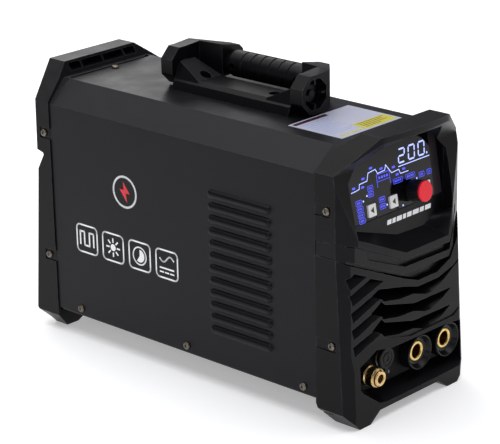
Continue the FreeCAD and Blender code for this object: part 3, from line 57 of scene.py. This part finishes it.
class Look:
    """A material's node tree, built one node at a time."""

    def __init__(self, name):
        self.material = bpy.data.materials.new(name)
        self.material.use_nodes = True
        self.tree = self.material.node_tree
        self.shader = self.tree.nodes["Principled BSDF"]
        self.place = self.node("ShaderNodeTexCoord").outputs["Object"]

    def node(self, kind, inputs=(), **settings):
        made = self.tree.nodes.new(kind)
        for key, value in settings.items():
            setattr(made, key, value)
        for key, value in dict(inputs).items():
            if isinstance(value, bpy.types.NodeSocket):
                self.tree.links.new(value, made.inputs[key])
            else:
                made.inputs[key].default_value = value
        return made

    def noise(self, scale, detail=3.0, rough=0.55, stretch=None):
        place = self.place
        if stretch:
            place = self.node("ShaderNodeMapping", {"Vector": place, "Scale": stretch}).outputs["Vector"]
        values = {"Vector": place, "Scale": scale, "Detail": detail, "Roughness": rough}
        return self.node("ShaderNodeTexNoise", values).outputs["Fac"]

    def remap(self, value, low, high, out_low, out_high):
        values = {"Value": value, "From Min": low, "From Max": high, "To Min": out_low, "To Max": out_high}
        return self.node("ShaderNodeMapRange", values).outputs["Result"]

    def blend(self, factor, a, b):
        made = self.node("ShaderNodeMix", data_type="RGBA")
        for socket, value in zip([s for s in made.inputs if s.enabled], (factor, a, b)):
            if isinstance(value, bpy.types.NodeSocket):
                self.tree.links.new(value, socket)
            else:
                socket.default_value = value
        return [s for s in made.outputs if s.enabled][0]

    def multiply(self, a, b):
        return self.node("ShaderNodeMath", {0: a, 1: b}, operation="MULTIPLY").outputs[0]

    def bump(self, height, distance):
        values = {"Height": height, "Distance": distance, "Strength": 1.0}
        return self.node("ShaderNodeBump", values).outputs["Normal"]

    def edges(self, radius):
        """1 on a convex or concave edge, 0 on an open face."""
        round_normal = self.node("ShaderNodeBevel", {"Radius": radius}, samples=4).outputs["Normal"]
        true_normal = self.node("ShaderNodeNewGeometry").outputs["Normal"]
        dot = self.node("ShaderNodeVectorMath", {0: round_normal, 1: true_normal}, operation="DOT_PRODUCT")
        return self.remap(dot.outputs["Value"], 0.995, 0.86, 0.0, 1.0)

    def set(self, **values):
        for key, value in values.items():
            socket = self.shader.inputs[key.replace("_", " ")]
            if isinstance(value, bpy.types.NodeSocket):
                self.tree.links.new(value, socket)
            else:
                socket.default_value = value


def rgb(red, green, blue):
    return (red, green, blue, 1.0)


def satin(name, color, rough, grain, depth, mottle=0.16, wear_and_edge_highlight=0.0, specular=0.5):
    """Painted metal or moulded plastic: a fine grain, uneven gloss, faint mottling and paler edges, the paler
    edges partly wear and partly a painted highlight.
    """
    look = Look(name)
    broad = look.noise(17.0, 4.0, 0.6)
    fine = look.noise(grain, 3.0, 0.6)
    dark = tuple(c * (1 - mottle) for c in color) + (1.0,)
    pale = tuple(c * (1 + mottle) for c in color) + (1.0,)
    base = look.blend(look.remap(broad, 0.3, 0.7, 0.0, 1.0), dark, pale)
    # paler edges: partly rubbed wear, partly a painted highlight standing in for light catching the rounded
    # edges
    if wear_and_edge_highlight:
        scuff_and_highlight_patches = look.remap(look.noise(140.0, 4.0, 0.7), 0.42, 0.66, 0.15, 1.0)
        rubbed_and_highlit_edges = look.multiply(look.multiply(look.edges(0.0011), scuff_and_highlight_patches), wear_and_edge_highlight)
        worn_and_highlit_color = tuple(min(1.0, c * 4.0 + 0.055) for c in color) + (1.0,)
        base = look.blend(rubbed_and_highlit_edges, base, worn_and_highlit_color)
    smears = look.remap(look.noise(46.0, 5.0, 0.65, (1.0, 1.0, 2.6)), 0.3, 0.7, rough - 0.05, rough + 0.06)
    normal = look.bump(fine, depth)
    look.set(Base_Color=base, Roughness=smears, Normal=normal, Specular_IOR_Level=specular)
    return look.material


def metal(name, color, rough, brushed=(1.0, 1.0, 1.0), depth=0.00002, tarnish=0.25):
    """Turned or brushed metal, with tool marks, patchy gloss and a little tarnish."""
    look = Look(name)
    marks = look.noise(900.0, 3.0, 0.6, brushed)
    patches = look.noise(150.0, 4.0, 0.65)
    dull = tuple(c * (1 - tarnish) * shade for c, shade in zip(color, (0.8, 0.72, 0.62))) + (1.0,)
    base = look.blend(look.remap(patches, 0.42, 0.72, 0.0, 1.0), tuple(color) + (1.0,), dull)
    look.set(Base_Color=base, Metallic=1.0, Normal=look.bump(marks, depth),
             Roughness=look.remap(patches, 0.3, 0.7, rough - 0.06, rough + 0.1))
    return look.material


def glossy(name, color, rough, coat=0.0, mottle=0.06, depth=0.00001, specular=0.5):
    """Smooth moulded plastic or film, with a faint orange peel and finger smears."""
    look = Look(name)
    broad = look.noise(60.0, 3.0)
    dark = tuple(c * (1 - mottle) for c in color) + (1.0,)
    pale = tuple(min(1.0, c * (1 + mottle)) for c in color) + (1.0,)
    smears = look.noise(90.0, 5.0, 0.7, (1.0, 2.4, 1.0))
    look.set(Base_Color=look.blend(broad, dark, pale), Normal=look.bump(look.noise(420.0, 2.0), depth),
             Roughness=look.remap(smears, 0.3, 0.7, max(0.02, rough - 0.03), rough + 0.05),
             Coat_Weight=coat, Coat_Roughness=0.05, Specular_IOR_Level=specular)
    return look.material


def lit(name, color, strength):
    """A lit part of the display: even light, with a soft unevenness from its backlight."""
    look = Look(name)
    dimmer = tuple(c * 0.86 for c in color) + (1.0,)
    glow = look.blend(look.noise(260.0, 2.0), dimmer, tuple(color) + (1.0,))
    look.set(Base_Color=glow, Emission_Color=glow, Emission_Strength=strength, Roughness=0.4)
    return look.material


def wound(name, color, pitch):
    """Enamelled wire wound in even turns."""
    look = Look(name)
    wave = look.node("ShaderNodeTexWave", {"Vector": look.place, "Scale": 1.0 / pitch, "Distortion": 0.4},
                     bands_direction="Y").outputs["Fac"]
    base = look.blend(wave, tuple(c * 0.35 for c in color) + (1.0,), tuple(color) + (1.0,))
    look.set(Base_Color=base, Metallic=0.75, Roughness=0.32, Normal=look.bump(wave, 0.0004),
             Coat_Weight=0.4)
    return look.material


M = {
    "cover": satin("cover_paint", (0.0048, 0.0050, 0.0066), 0.36, 1500.0, 0.00005, 0.10, 0.6, 0.15),
    "frame": satin("frame_plastic", (0.0030, 0.0031, 0.0040), 0.32, 1900.0, 0.00006, 0.14, 1.0, 0.12),
    "belt": satin("belt_plastic", (0.0030, 0.0030, 0.0042), 0.28, 1500.0, 0.00004, 0.12, 1.0, 0.13),
    "handle": satin("handle_plastic", (0.0034, 0.0035, 0.0044), 0.34, 1900.0, 0.00006, 0.14, 1.0, 0.13),
    "grip": satin("grip_rubber", (0.0036, 0.0037, 0.0048), 0.36, 1300.0, 0.00006, 0.14, 0.5, 0.13),
    "bay": satin("bay_plate", (0.0040, 0.0040, 0.0048), 0.5, 1600.0, 0.00005, 0.1, 0.0, 0.14),
    "rear_wall": satin("rear_wall_paint", (0.016, 0.016, 0.018), 0.46, 1500.0, 0.00005, 0.1),
    "collar": satin("collar_plastic", (0.0046, 0.0046, 0.0056), 0.24, 900.0, 0.00002, 0.1, 0.5, 0.22),
    "dark_rubber": satin("dark_rubber", (0.0075, 0.0075, 0.0085), 0.5, 1100.0, 0.00006, 0.12, 0.2, 0.2),
    "knob": satin("knob_plastic", (0.0055, 0.0055, 0.0070), 0.36, 1500.0, 0.00003, 0.1, 0.35, 0.22),
    "panel": satin("panel_paint", (0.030, 0.023, 0.027), 0.42, 1500.0, 0.00003, 0.06, 0.0, 0.25),
    "switch": satin("switch_plastic", (0.014, 0.014, 0.015), 0.34, 900.0, 0.00002, 0.1),
    "module": satin("module_plastic", (0.02, 0.02, 0.022), 0.5, 1200.0, 0.00004),
    "pcb": satin("solder_mask", (0.012, 0.075, 0.035), 0.35, 700.0, 0.00003, 0.3),
    "ferrite": satin("ferrite", (0.035, 0.035, 0.04), 0.6, 1400.0, 0.00008, 0.2),
    "tape": satin("coil_tape", (0.42, 0.31, 0.05), 0.45, 500.0, 0.00005, 0.15),
    "window": glossy("window_gloss", (0.0032, 0.0028, 0.0036), 0.06, 0.12, 0.1, 0.000002, 0.26),
    "white_key": glossy("key_white", (0.90, 0.89, 0.88), 0.35),
    "mark": glossy("key_mark", (0.012, 0.012, 0.014), 0.4),
    "red": glossy("cap_red", (0.95, 0.010, 0.030), 0.30, 0.1, 0.04, 0.00001, 0.3),
    "rocker": glossy("rocker_red", (0.55, 0.012, 0.012), 0.25, 0.3),
    "print_white": glossy("print_white", (0.93, 0.94, 0.95), 0.5, 0.0, 0.03),
    "print_red": glossy("print_red", (0.72, 0.010, 0.025), 0.45),
    "label_white": glossy("label_white", (0.42, 0.43, 0.54), 0.35, 0.1),
    "label_blue": glossy("label_blue", (0.30, 0.36, 0.62), 0.4, 0.2),
    "pivot_black": satin("pivot_black", (0.006, 0.006, 0.007), 0.4, 900.0, 0.00002, 0.1, 0.0, 0.2),
    "label_yellow": glossy("label_yellow", (0.52, 0.47, 0.035), 0.35, 0.1),
    "label_maroon": glossy("label_maroon", (0.045, 0.008, 0.02), 0.4, 0.2),
    "can": glossy("can_sleeve", (0.02, 0.02, 0.05), 0.3),
    "brass": metal("brass", (0.80, 0.56, 0.20), 0.2, (1.0, 0.06, 1.0)),
    "gas_brass": metal("gas_brass", (0.78, 0.55, 0.26), 0.24, (1.0, 0.06, 1.0)),
    "steel": metal("zinc_steel", (0.55, 0.55, 0.54), 0.3),
    "chrome": metal("bright_wire", (0.62, 0.62, 0.64), 0.16),
    "black_steel": metal("black_oxide", (0.17, 0.155, 0.13), 0.30, tarnish=0.1),
    "dark_steel": metal("dark_zinc", (0.20, 0.20, 0.21), 0.34),
    "aluminium": metal("extruded_aluminium", (0.62, 0.63, 0.64), 0.36, (0.05, 1.0, 1.0)),
    "copper": wound("copper_winding", (0.80, 0.34, 0.15), 0.011),
    "bus": metal("bus_copper", (0.70, 0.34, 0.18), 0.3),
    "glow_white": lit("display_white", (0.42, 0.50, 1.0), 1.2),
    "glow_blue": lit("display_blue", (0.075, 0.085, 0.85), 1.0),
}

NODE_LOOKS = {
    "base_tray": "rear_wall", "outer_cover": "cover", "front_bezel": "frame", "front_belt": "belt",
    "lower_front_frame": "frame", "connector_plate": "bay", "dinse_collar_left": "collar",
    "dinse_collar_right": "collar", "dinse_insert_left": "brass", "dinse_insert_right": "brass",
    "gas_fitting": "gas_brass", "remote_socket": "dark_steel", "dust_cap": "dark_rubber",
    "dust_cap_bracket": "dark_steel", "control_plate": "panel", "display_window": "window",
    "control_board": "pcb", "panel_modules": "module", "button_mode": "white_key",
    "button_trigger": "white_key", "button_store": "white_key", "encoder_body": "steel",
    "encoder_plunger": "steel", "encoder_shaft": "steel", "knob": "knob", "knob_cap": "red",
    "handle_base": "handle", "handle_screws": "pivot_black", "handle_bail": "handle", "handle_grip": "grip",
    "grip_screws": "pivot_black", "rear_frame": "frame", "rear_panel": "rear_wall", "fan_frame": "module",
    "fan_rotor": "module", "fan_guard": "chrome", "fan_screws": "steel", "power_switch": "switch",
    "switch_rocker": "rocker", "mains_gland": "module", "gas_inlet": "brass", "earth_stud": "steel",
    "fitting_nuts": "steel", "frame_screws": "black_steel", "cover_screws": "black_steel",
    "top_label": "label_white", "board_posts": "steel", "power_board": "pcb", "heatsinks": "aluminium",
    "power_modules": "module", "capacitors": "can", "upper_shelf": "rear_wall", "magnetic_cores": "ferrite",
    "transformer_winding": "copper", "hf_coil": "tape", "output_choke": "copper", "gas_valve": "steel",
    "bus_bars": "bus", "gas_hose": "dark_rubber",
}

# width of the rounded edge on each moulded or machined node, in millimetres
ROUNDED = {
    "front_bezel": 1.1, "front_belt": 0.7, "lower_front_frame": 0.7, "rear_frame": 1.0,
    "handle_base": 0.7, "handle_bail": 0.8, "knob": 0.25, "dinse_collar_left": 0.3,
    "dinse_collar_right": 0.3, "dinse_insert_left": 0.2, "dinse_insert_right": 0.2, "gas_fitting": 0.2,
    "control_plate": 0.2, "display_window": 0.15, "power_switch": 0.4, "switch_rocker": 0.4,
    "mains_gland": 0.3, "dust_cap": 0.3, "top_label": 0.1, "outer_cover": 0.25, "connector_plate": 0.2,
}


def soften(thing, width):
    """Welds a CAD mesh, merges its flat faces and rounds its edges, without changing its data."""
    weld = thing.modifiers.new("weld", "WELD")
    weld.merge_threshold = WELD_DISTANCE
    flat = thing.modifiers.new("flat", "DECIMATE")
    flat.decimate_type = "DISSOLVE"
    flat.angle_limit = math.radians(0.6)
    bevel = thing.modifiers.new("round", "BEVEL")
    bevel.width = width * MM
    bevel.segments = 2
    bevel.limit_method = "ANGLE"
    bevel.angle_limit = math.radians(24)
    bevel.use_clamp_overlap = True
    bevel.harden_normals = False
    weighted = thing.modifiers.new("weighted", "WEIGHTED_NORMAL")
    weighted.mode = "FACE_AREA"
    weighted.keep_sharp = True
    for polygon in thing.data.polygons:
        polygon.use_smooth = True


for node, look in NODE_LOOKS.items():
    thing = NODES[node]
    thing.data.materials.clear()
    thing.data.materials.append(M[look])
    if node in ROUNDED:
        soften(thing, ROUNDED[node])

# ---------------------------------------------------------------- mesh building


class Plane:
    """A flat drawing surface: a point on it, its two directions and its outward normal."""

    def __init__(self, origin, across, up):
        self.origin = Vector(origin)
        self.across = Vector(across).normalized()
        self.up = Vector(up).normalized()
        self.out = self.across.cross(self.up)

    def point(self, a, b, lift=0.0):
        """A point given in millimetres."""
        return self.origin + (self.across * a + self.up * b + self.out * lift) * MM


def finish_piece(name, mesh_data, look, body):
    thing = bpy.data.objects.new(name, mesh_data)
    bpy.context.scene.collection.objects.link(thing)
    thing.data.materials.append(M[look])
    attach(thing, body)
    return thing


def printed(name, plane, outlines, look, body, low=0.0, high=0.12):
    """Flat shapes with a little thickness, such as ink, film or display segments."""
    made = bmesh.new()
    for outline in outlines:
        bottom = [made.verts.new(plane.point(a, b, low)) for a, b in outline]
        top = [made.verts.new(plane.point(a, b, high)) for a, b in outline]
        made.faces.new(top)
        made.faces.new(bottom[::-1])
        for i in range(len(outline)):
            j = (i + 1) % len(outline)
            made.faces.new((bottom[i], bottom[j], top[j], top[i]))
    bmesh.ops.recalc_face_normals(made, faces=made.faces)
    data = bpy.data.meshes.new(name)
    made.to_mesh(data)
    made.free()
    return finish_piece(name, data, look, body)


def box_outline(a, b, wide, tall):
    return [(a, b), (a + wide, b), (a + wide, b + tall), (a, b + tall)]


def rounded_outline(a, b, wide, tall, radius, steps=5):
    """A rectangle from its lower left corner, with round corners."""
    corners = [(a + wide - radius, b + radius, -90), (a + wide - radius, b + tall - radius, 0),
               (a + radius, b + tall - radius, 90), (a + radius, b + radius, 180)]
    points = []
    for x, y, start in corners:
        for i in range(steps + 1):
            angle = math.radians(start + 90 * i / steps)
            points.append((x + radius * math.cos(angle), y + radius * math.sin(angle)))
    return points


def stroke(points, width, closed=False):
    """A line of even width as one quad per run, each run reaching 0.35 of half its width past its ends."""
    quads = []
    runs = list(zip(points, points[1:] + points[:1])) if closed else list(zip(points, points[1:]))
    for (x0, y0), (x1, y1) in runs:
        length = math.hypot(x1 - x0, y1 - y0)
        dx, dy = (x1 - x0) / length * width / 2, (y1 - y0) / length * width / 2
        reach = 0.35
        quads.append([
            (x0 - dx * reach + dy, y0 - dy * reach - dx), (x1 + dx * reach + dy, y1 + dy * reach - dx),
            (x1 + dx * reach - dy, y1 + dy * reach + dx), (x0 - dx * reach - dy, y0 - dy * reach + dx)])
    return quads


def disc(x, y, radius, steps=20):
    return [(x + radius * math.cos(2 * math.pi * i / steps), y + radius * math.sin(2 * math.pi * i / steps))
            for i in range(steps)]


# ---------------------------------------------------------------- display

INWARD = Vector(JOINTS["knob_press_in"]["axis"])
PANEL_UP = Vector((1, 0, 0)).cross(INWARD)
if PANEL_UP.z < 0:
    PANEL_UP = -PANEL_UP
PANEL_FOOT = Vector((0.0, -0.193, 0.186))
PANEL = Plane(PANEL_FOOT, (1, 0, 0), PANEL_UP)
# heights above the panel's plate, in millimetres
GLASS = 1.05
KEY_FACE = 2.4


def segment_digit(x, s, wide, tall, bars, slant=0.12, thick=1.5):
    """The lit bars of one seven-segment digit, leaning to the right."""
    half = tall / 2
    spots = {
        "top": (0, tall, wide, tall), "middle": (0, half, wide, half), "bottom": (0, 0, wide, 0),
        "upper_left": (0, half, 0, tall), "upper_right": (wide, half, wide, tall),
        "lower_left": (0, 0, 0, half), "lower_right": (wide, 0, wide, half)}
    shapes = []
    for bar in bars:
        x0, y0, x1, y1 = spots[bar]
        length = math.hypot(x1 - x0, y1 - y0)
        ux, uy = (x1 - x0) / length, (y1 - y0) / length
        gap, cut = 0.35, thick / 2
        outline = []
        for along, side in ((gap, 0), (gap + cut, 1), (length - gap - cut, 1), (length - gap, 0),
                            (length - gap - cut, -1), (gap + cut, -1)):
            px = x0 + ux * along - uy * side * thick / 2
            py = y0 + uy * along + ux * side * thick / 2
            outline.append((x + px + slant * py, s + py))
        shapes.append(outline)
    return shapes


ZERO = ("top", "bottom", "upper_left", "upper_right", "lower_left", "lower_right")
TWO = ("top", "upper_right", "middle", "lower_left", "bottom")
DIGIT_FOOT = 44.0
DIGIT_WIDE, DIGIT_TALL = 8.6, 12.4
digits = []
for start, bars in ((12.0, TWO), (26.4, ZERO), (40.8, ZERO)):
    digits += segment_digit(start, DIGIT_FOOT, DIGIT_WIDE, DIGIT_TALL, bars)
digits.append(disc(53.0, DIGIT_FOOT + 0.4, 1.0, 12))
digits += stroke([(11.0, DIGIT_FOOT - 3.0), (56.0, DIGIT_FOOT - 3.0)], 0.8)
# the curve of the welding current over time
WAVE = [(-57, 33), (-49, 33.6), (-45.6, 34.2), (-44.9, 38.2), (-34, 38.8), (-31.4, 45.4), (-21, 46.4),
        (-18.7, 42), (-8.3, 42.6), (-6.4, 47), (0.6, 38), (11, 38.6), (12.6, 34.3), (24, 34.2)]
digits += stroke(WAVE, 0.75)
printed("display_figures", PANEL, digits, "glow_white", "case", GLASS - 0.05, GLASS + 0.06)

# each lit box: its middle across and up the panel, and its width
BOXES = [(-31, 31.4, 7.4), (-31, 25.8, 7.4), (-48.8, 22, 8), (-48, 16.3, 8), (-47.8, 10.7, 8), (-47, 5, 8),
         (-17, 17.5, 8), (-17, 11, 8), (8, 29, 13), (26, 29, 13), (42, 26.4, 7.6), (53, 26.4, 6.4)]
lamp_boxes = []
for x, s, wide in BOXES:
    tall = 4.4
    frame_line = rounded_outline(x - wide / 2, s - tall / 2, wide, tall, 0.9, 3)
    lamp_boxes += stroke(frame_line, 0.5, True)
    count = 4 if wide > 10 else 3
    step = (wide - 2.6) / count
    for i in range(count):
        lamp_boxes.append(box_outline(x - wide / 2 + 1.5 + i * step, s - 1.0, step - 0.7, 2.0))
lamp_boxes += stroke([(-20.6, 29.5), (-20.6, 41), (-2.6, 41), (-2.6, 29.5)], 0.6)
lamp_boxes += stroke([(-20.6, 34.4), (-2.6, 34.4)], 0.5)
for i in range(4):
    lamp_boxes.append(box_outline(-18.0 + i * 3.6, 36.4, 2.2, 2.2))
for x, s in ((-53, 36.4), (-41, 34.6), (-39, 42), (-27, 49), (-13, 45.2), (4, 42.4), (8, 34.6), (18, 37.6)):
    lamp_boxes.append(rounded_outline(x - 2.2, s - 1.0, 4.4, 2.0, 0.6, 2))
printed("display_icons", PANEL, lamp_boxes, "glow_blue", "case", GLASS - 0.05, GLASS + 0.05)
lamps = [disc(x, s, 0.9, 12) for x, s in ((-36.7, 25.6), (-11, 11), (10.7, 4.8), (34.5, 24.4), (-42.4, 22))]
printed("display_lamps", PANEL, lamps, "glow_white", "case", GLASS - 0.05, GLASS + 0.1)

for node in ("button_mode", "button_trigger", "button_store"):
    low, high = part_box(node)
    middle = (low + high) / 2 - PANEL_FOOT
    x, s = middle.x / MM, middle.dot(PANEL_UP) / MM
    arrow = [(x + 2.0, s - 3.0), (x + 2.0, s + 3.0), (x - 2.5, s)]
    printed("arrow_" + node, PANEL, [arrow], "mark", node, KEY_FACE - 0.05, KEY_FACE + 0.06)

# ---------------------------------------------------------------- printing on the sides and top

SIDE_X = 0.0865


BADGE = (73.0, 171.5)
BADGE_RADIUS = 15.5
SUN = (92.6, 109.8)
DIAL = (55.4, 109.8)


def around(middle, radius, degrees):
    """The point at this radius and angle from the middle."""
    turn = math.radians(degrees)
    return (middle[0] + radius * math.cos(turn), middle[1] + radius * math.sin(turn))


def side_print(word, side):
    """A round badge with a plain spark and four symbols on one side of the cover."""
    plane = Plane((side * SIDE_X, 0, 0), (0, side, 0), (0, 0, 1))
    flip = -1 if side < 0 else 1

    def at(points):
        return [(flip * y, z) for y, z in points]

    white = [at(quad) for quad in stroke(disc(*BADGE, BADGE_RADIUS, 36), 2.2, True)]
    for i in range(4):
        y = 144.3 - 37.2 * i
        ring = rounded_outline(y - 29.0, 95.5, 29.0, 28.5, 4.6, 5)
        white += [at(quad) for quad in stroke(ring, 1.7, True)]
    square_wave = [(139.5, 103), (139.5, 117), (133.5, 117), (133.5, 103), (126.5, 103), (126.5, 117),
                   (120.5, 117), (120.5, 103)]
    white += [at(quad) for quad in stroke(square_wave, 1.9)]
    for k in range(8):
        ray = [around(SUN, 5.4, 45 * k), around(SUN, 9.4, 45 * k)]
        white += [at(quad) for quad in stroke(ray, 1.7)]
    white.append(at(disc(*SUN, 3.6)))
    dial = [around(DIAL, 9.0, 20 * i) for i in range(18)]
    white += [at(quad) for quad in stroke(dial, 1.5, True)]
    white.append(at([DIAL] + [around(DIAL, 6.6, 90 + 24 * i) for i in range(10)]))
    sine = [(8.7 + i * 1.0, 115.0 + 3.2 * math.sin(math.pi * i / 9.5)) for i in range(20)]
    white += [at(quad) for quad in stroke(sine, 1.7)]
    white += [at(quad) for quad in stroke([(8.7, 105.4), (27.7, 105.4)], 1.7)]
    for dash in (8.7, 15.7, 22.7):
        white += [at(quad) for quad in stroke([(dash, 101.2), (dash + 5.0, 101.2)], 1.5)]
    printed("side_marks_" + word, plane, white, "print_white", "case", -0.02, 0.1)
    spark = [(75, 182), (66, 170.5), (71.5, 170.5), (70, 161), (80, 173.5), (74, 173.5)]
    printed("side_spark_" + word, plane, [at(spark)], "print_red", "case", -0.02, 0.1)


side_print("left", -1)
side_print("right", 1)

LABEL_LOW, LABEL_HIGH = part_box("top_label")
LABEL = Plane((LABEL_LOW.x, LABEL_LOW.y, LABEL_HIGH.z), (1, 0, 0), (0, 1, 0))
printed("label_stripe", LABEL, [box_outline(2.4, 57.4, 46, 5.4)], "label_maroon", "case", -0.02, 0.06)
printed("label_band", LABEL, [box_outline(38, 3, 44, 18)], "label_yellow", "case", -0.02, 0.06)
wedges = [[(a, 3.4), (a + 6.4, 3.4), (a + 3.2, 9.4)] for a in (4.0, 12.4, 20.8, 29.2)]
printed("label_wedges", LABEL, wedges, "label_yellow", "case", -0.02, 0.06)
LINE_WIDTHS = (38, 33, 36, 28, 35, 31, 36, 20, 33, 27)
lines = [box_outline(5, 53.0 - 4.2 * i, wide, 1.1) for i, wide in enumerate(LINE_WIDTHS)]
printed("label_lines", LABEL, lines, "label_blue", "case", -0.02, 0.05)
notes = [box_outline(42, 17.6 - 3.6 * i, (36, 31, 34, 22)[i], 1.0) for i in range(4)]
printed("label_notes", LABEL, notes, "label_maroon", "case", 0.04, 0.1)

RAMP = Plane((0, -0.193, 0), (1, 0, 0), (0, 0, 1))
# plain bars under the panel: where each starts, and its width
BARS = [(-12, 6.0), (-4.6, 4.6), (1.6, 7.4), (10.6, 4.4), (16.6, 6.6), (24.8, 8.8), (35.2, 6.0), (43.0, 8.4)]
BAR_FOOT, BAR_TOP = 177.6, 182.2
BAR_LEAN = 0.5
plain = []
for start, wide in BARS:
    end = start + wide
    plain.append([(start, BAR_FOOT), (end, BAR_FOOT), (end + BAR_LEAN, BAR_TOP), (start + BAR_LEAN, BAR_TOP)])
printed("ramp_marks", RAMP, plain, "print_white", "case", -0.02, 0.1)

# ---------------------------------------------------------------- screws


def islands(node):
    """The box of each separate solid in a CAD node."""
    made = bmesh.new()
    made.from_mesh(NODES[node].data)
    bmesh.ops.remove_doubles(made, verts=made.verts, dist=WELD_DISTANCE)
    waiting = set(made.verts)
    boxes = []
    while waiting:
        stack = [waiting.pop()]
        group = [stack[0].co.copy()]
        while stack:
            for edge in stack.pop().link_edges:
                for vertex in edge.verts:
                    if vertex in waiting:
                        waiting.remove(vertex)
                        stack.append(vertex)
                        group.append(vertex.co.copy())
        low = Vector([min(p[k] for p in group) for k in range(3)])
        high = Vector([max(p[k] for p in group) for k in range(3)])
        boxes.append((low, high))
    made.free()
    return boxes


def screw_head(name, place, out, radius, rise, look, body):
    """A domed head with a cross recess, its seat at a point and its top facing out."""
    made = bmesh.new()
    profile = [(radius * 0.98, 0.0), (radius, rise * 0.22), (radius * 0.93, rise * 0.55),
               (radius * 0.74, rise * 0.84), (radius * 0.45, rise * 0.97), (0.0, rise)]
    steps = 32
    rings = []
    turns = [2 * math.pi * i / steps for i in range(steps)]
    for r, h in profile[:-1]:
        rings.append([made.verts.new((r * math.cos(turn), r * math.sin(turn), h)) for turn in turns])
    top = made.verts.new((0, 0, rise))
    for a, b in zip(rings, rings[1:]):
        for i in range(steps):
            made.faces.new((a[i], a[(i + 1) % steps], b[(i + 1) % steps], b[i]))
    for i in range(steps):
        made.faces.new((rings[-1][i], rings[-1][(i + 1) % steps], top))
    made.faces.new(rings[0][::-1])
    data = bpy.data.meshes.new(name)
    made.to_mesh(data)
    made.free()
    head = bpy.data.objects.new(name, data)
    bpy.context.scene.collection.objects.link(head)
    cutter_mesh = bmesh.new()
    arm, slot = radius * 0.56, radius * 0.13
    for turn in (0, math.pi / 2):
        bar = bmesh.ops.create_cube(cutter_mesh, size=1.0)["verts"]
        for vertex in bar:
            taper = 1.0 if vertex.co.z > 0 else 0.55
            vertex.co = Vector((vertex.co.x * 2 * arm * taper, vertex.co.y * 2 * slot * (0.7 + 0.3 * taper),
                                rise * 0.35 if vertex.co.z < 0 else rise * 1.4))
        bmesh.ops.rotate(cutter_mesh, verts=bar, cent=(0, 0, 0), matrix=Matrix.Rotation(turn, 3, "Z"))
    cutter_data = bpy.data.meshes.new(name + "_cutter")
    cutter_mesh.to_mesh(cutter_data)
    cutter_mesh.free()
    cutter = bpy.data.objects.new(name + "_cutter", cutter_data)
    bpy.context.scene.collection.objects.link(cutter)
    boolean = head.modifiers.new("cross", "BOOLEAN")
    boolean.operation = "DIFFERENCE"
    boolean.solver = "EXACT"
    boolean.use_self = True
    boolean.object = cutter
    bpy.context.view_layer.update()
    solved = bpy.data.meshes.new_from_object(head.evaluated_get(bpy.context.evaluated_depsgraph_get()))
    bpy.data.objects.remove(cutter)
    bpy.data.objects.remove(head)
    spin = Vector((0, 0, 1)).rotation_difference(Vector(out)).to_matrix().to_4x4()
    twist = Matrix.Rotation(37.0 * (place[1] * 31 + place[2] * 17), 4, "Z")
    solved.transform(Matrix.Translation(place) @ spin @ twist)
    for polygon in solved.polygons:
        polygon.use_smooth = False
    return finish_piece(name, solved, look, body)


def side_heads(node, word, radius, rise):
    """Cross-head screws in place of a CAD node of plain heads."""
    made = []
    for low, high in islands(node):
        middle = (low + high) / 2
        if abs(middle.x) > 0.05:
            side = 1 if middle.x > 0 else -1
            seat = Vector((low.x if side > 0 else high.x, middle.y, middle.z))
            out = (side, 0, 0)
        else:
            seat = Vector((middle.x, middle.y, high.z - 0.0027))
            out = (0, 0, 1)
        name = "%s_%d" % (word, len(made))
        made.append(screw_head(name, seat, out, radius, rise, "black_steel", "case"))
    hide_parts(node)


side_heads("frame_screws", "frame_head", 0.004, 0.0026)
side_heads("cover_screws", "cover_head", 0.004, 0.0026)

# ---------------------------------------------------------------- stage, camera and light

floor_mesh = bpy.data.meshes.new("floor")
reach = 30.0
floor_mesh.from_pydata([(-reach, -reach, 0), (reach, -reach, 0), (reach, reach, 0), (-reach, reach, 0)], [],
                       [(0, 1, 2, 3)])
floor = bpy.data.objects.new("floor", floor_mesh)
bpy.context.scene.collection.objects.link(floor)
pale = Look("pale_floor")
pale_color = pale.blend(pale.noise(0.7), rgb(0.86, 0.86, 0.87), rgb(0.90, 0.90, 0.905))
pale.set(Base_Color=pale_color, Roughness=0.75, Specular_IOR_Level=0.2, Emission_Color=rgb(1.0, 1.0, 1.0),
         Emission_Strength=0.34)
floor.data.materials.append(pale.material)

VIEW_RIGHT = Vector((0.67938, -0.73356, -0.01902))
VIEW_UP = Vector((0.25650, 0.21309, 0.94277))
VIEW_BACK = -Vector((0.68751, 0.64536, -0.33292))
camera_data = bpy.data.cameras.new("camera")
camera_data.lens = 152.67
camera_data.sensor_width = 36.0
camera_data.clip_end = 100.0
camera = bpy.data.objects.new("camera", camera_data)
turn = Matrix((VIEW_RIGHT, VIEW_UP, VIEW_BACK)).transposed()
camera.matrix_world = Matrix.Translation((-1.420, -1.344, 0.824)) @ turn.to_4x4()
bpy.context.scene.collection.objects.link(camera)
bpy.context.scene.camera = camera


def soft_light(name, place, aim, wide, tall, power, tint=(1.0, 1.0, 1.0)):
    lamp = bpy.data.lights.new(name, "AREA")
    lamp.shape = "RECTANGLE"
    lamp.size = wide
    lamp.size_y = tall
    lamp.energy = power
    lamp.color = tint
    thing = bpy.data.objects.new(name, lamp)
    thing.location = place
    thing.rotation_euler = (Vector(aim) - Vector(place)).to_track_quat("-Z", "Y").to_euler()
    bpy.context.scene.collection.objects.link(thing)


soft_light("overhead", (0.0, 0.2, 2.4), (0, 0, 0), 3.2, 3.2, 74.0)
soft_light("left_front", (-2.4, -1.2, 1.5), (0, 0, 0.15), 1.2, 1.4, 9.0, (0.93, 0.96, 1.0))
soft_light("behind", (0.9, 2.2, 1.3), (0, 0, 0.2), 2.2, 1.2, 18.0)
soft_light("right_front", (1.6, -2.0, 1.0), (0, -0.1, 0.15), 0.8, 1.2, 3.0)

world = bpy.data.worlds.new("studio")
world.use_nodes = True
world.node_tree.nodes["Background"].inputs["Color"].default_value = rgb(0.92, 0.94, 1.0)
world.node_tree.nodes["Background"].inputs["Strength"].default_value = 0.18
bpy.context.scene.world = world
bpy.context.scene.view_settings.view_transform = "Standard"
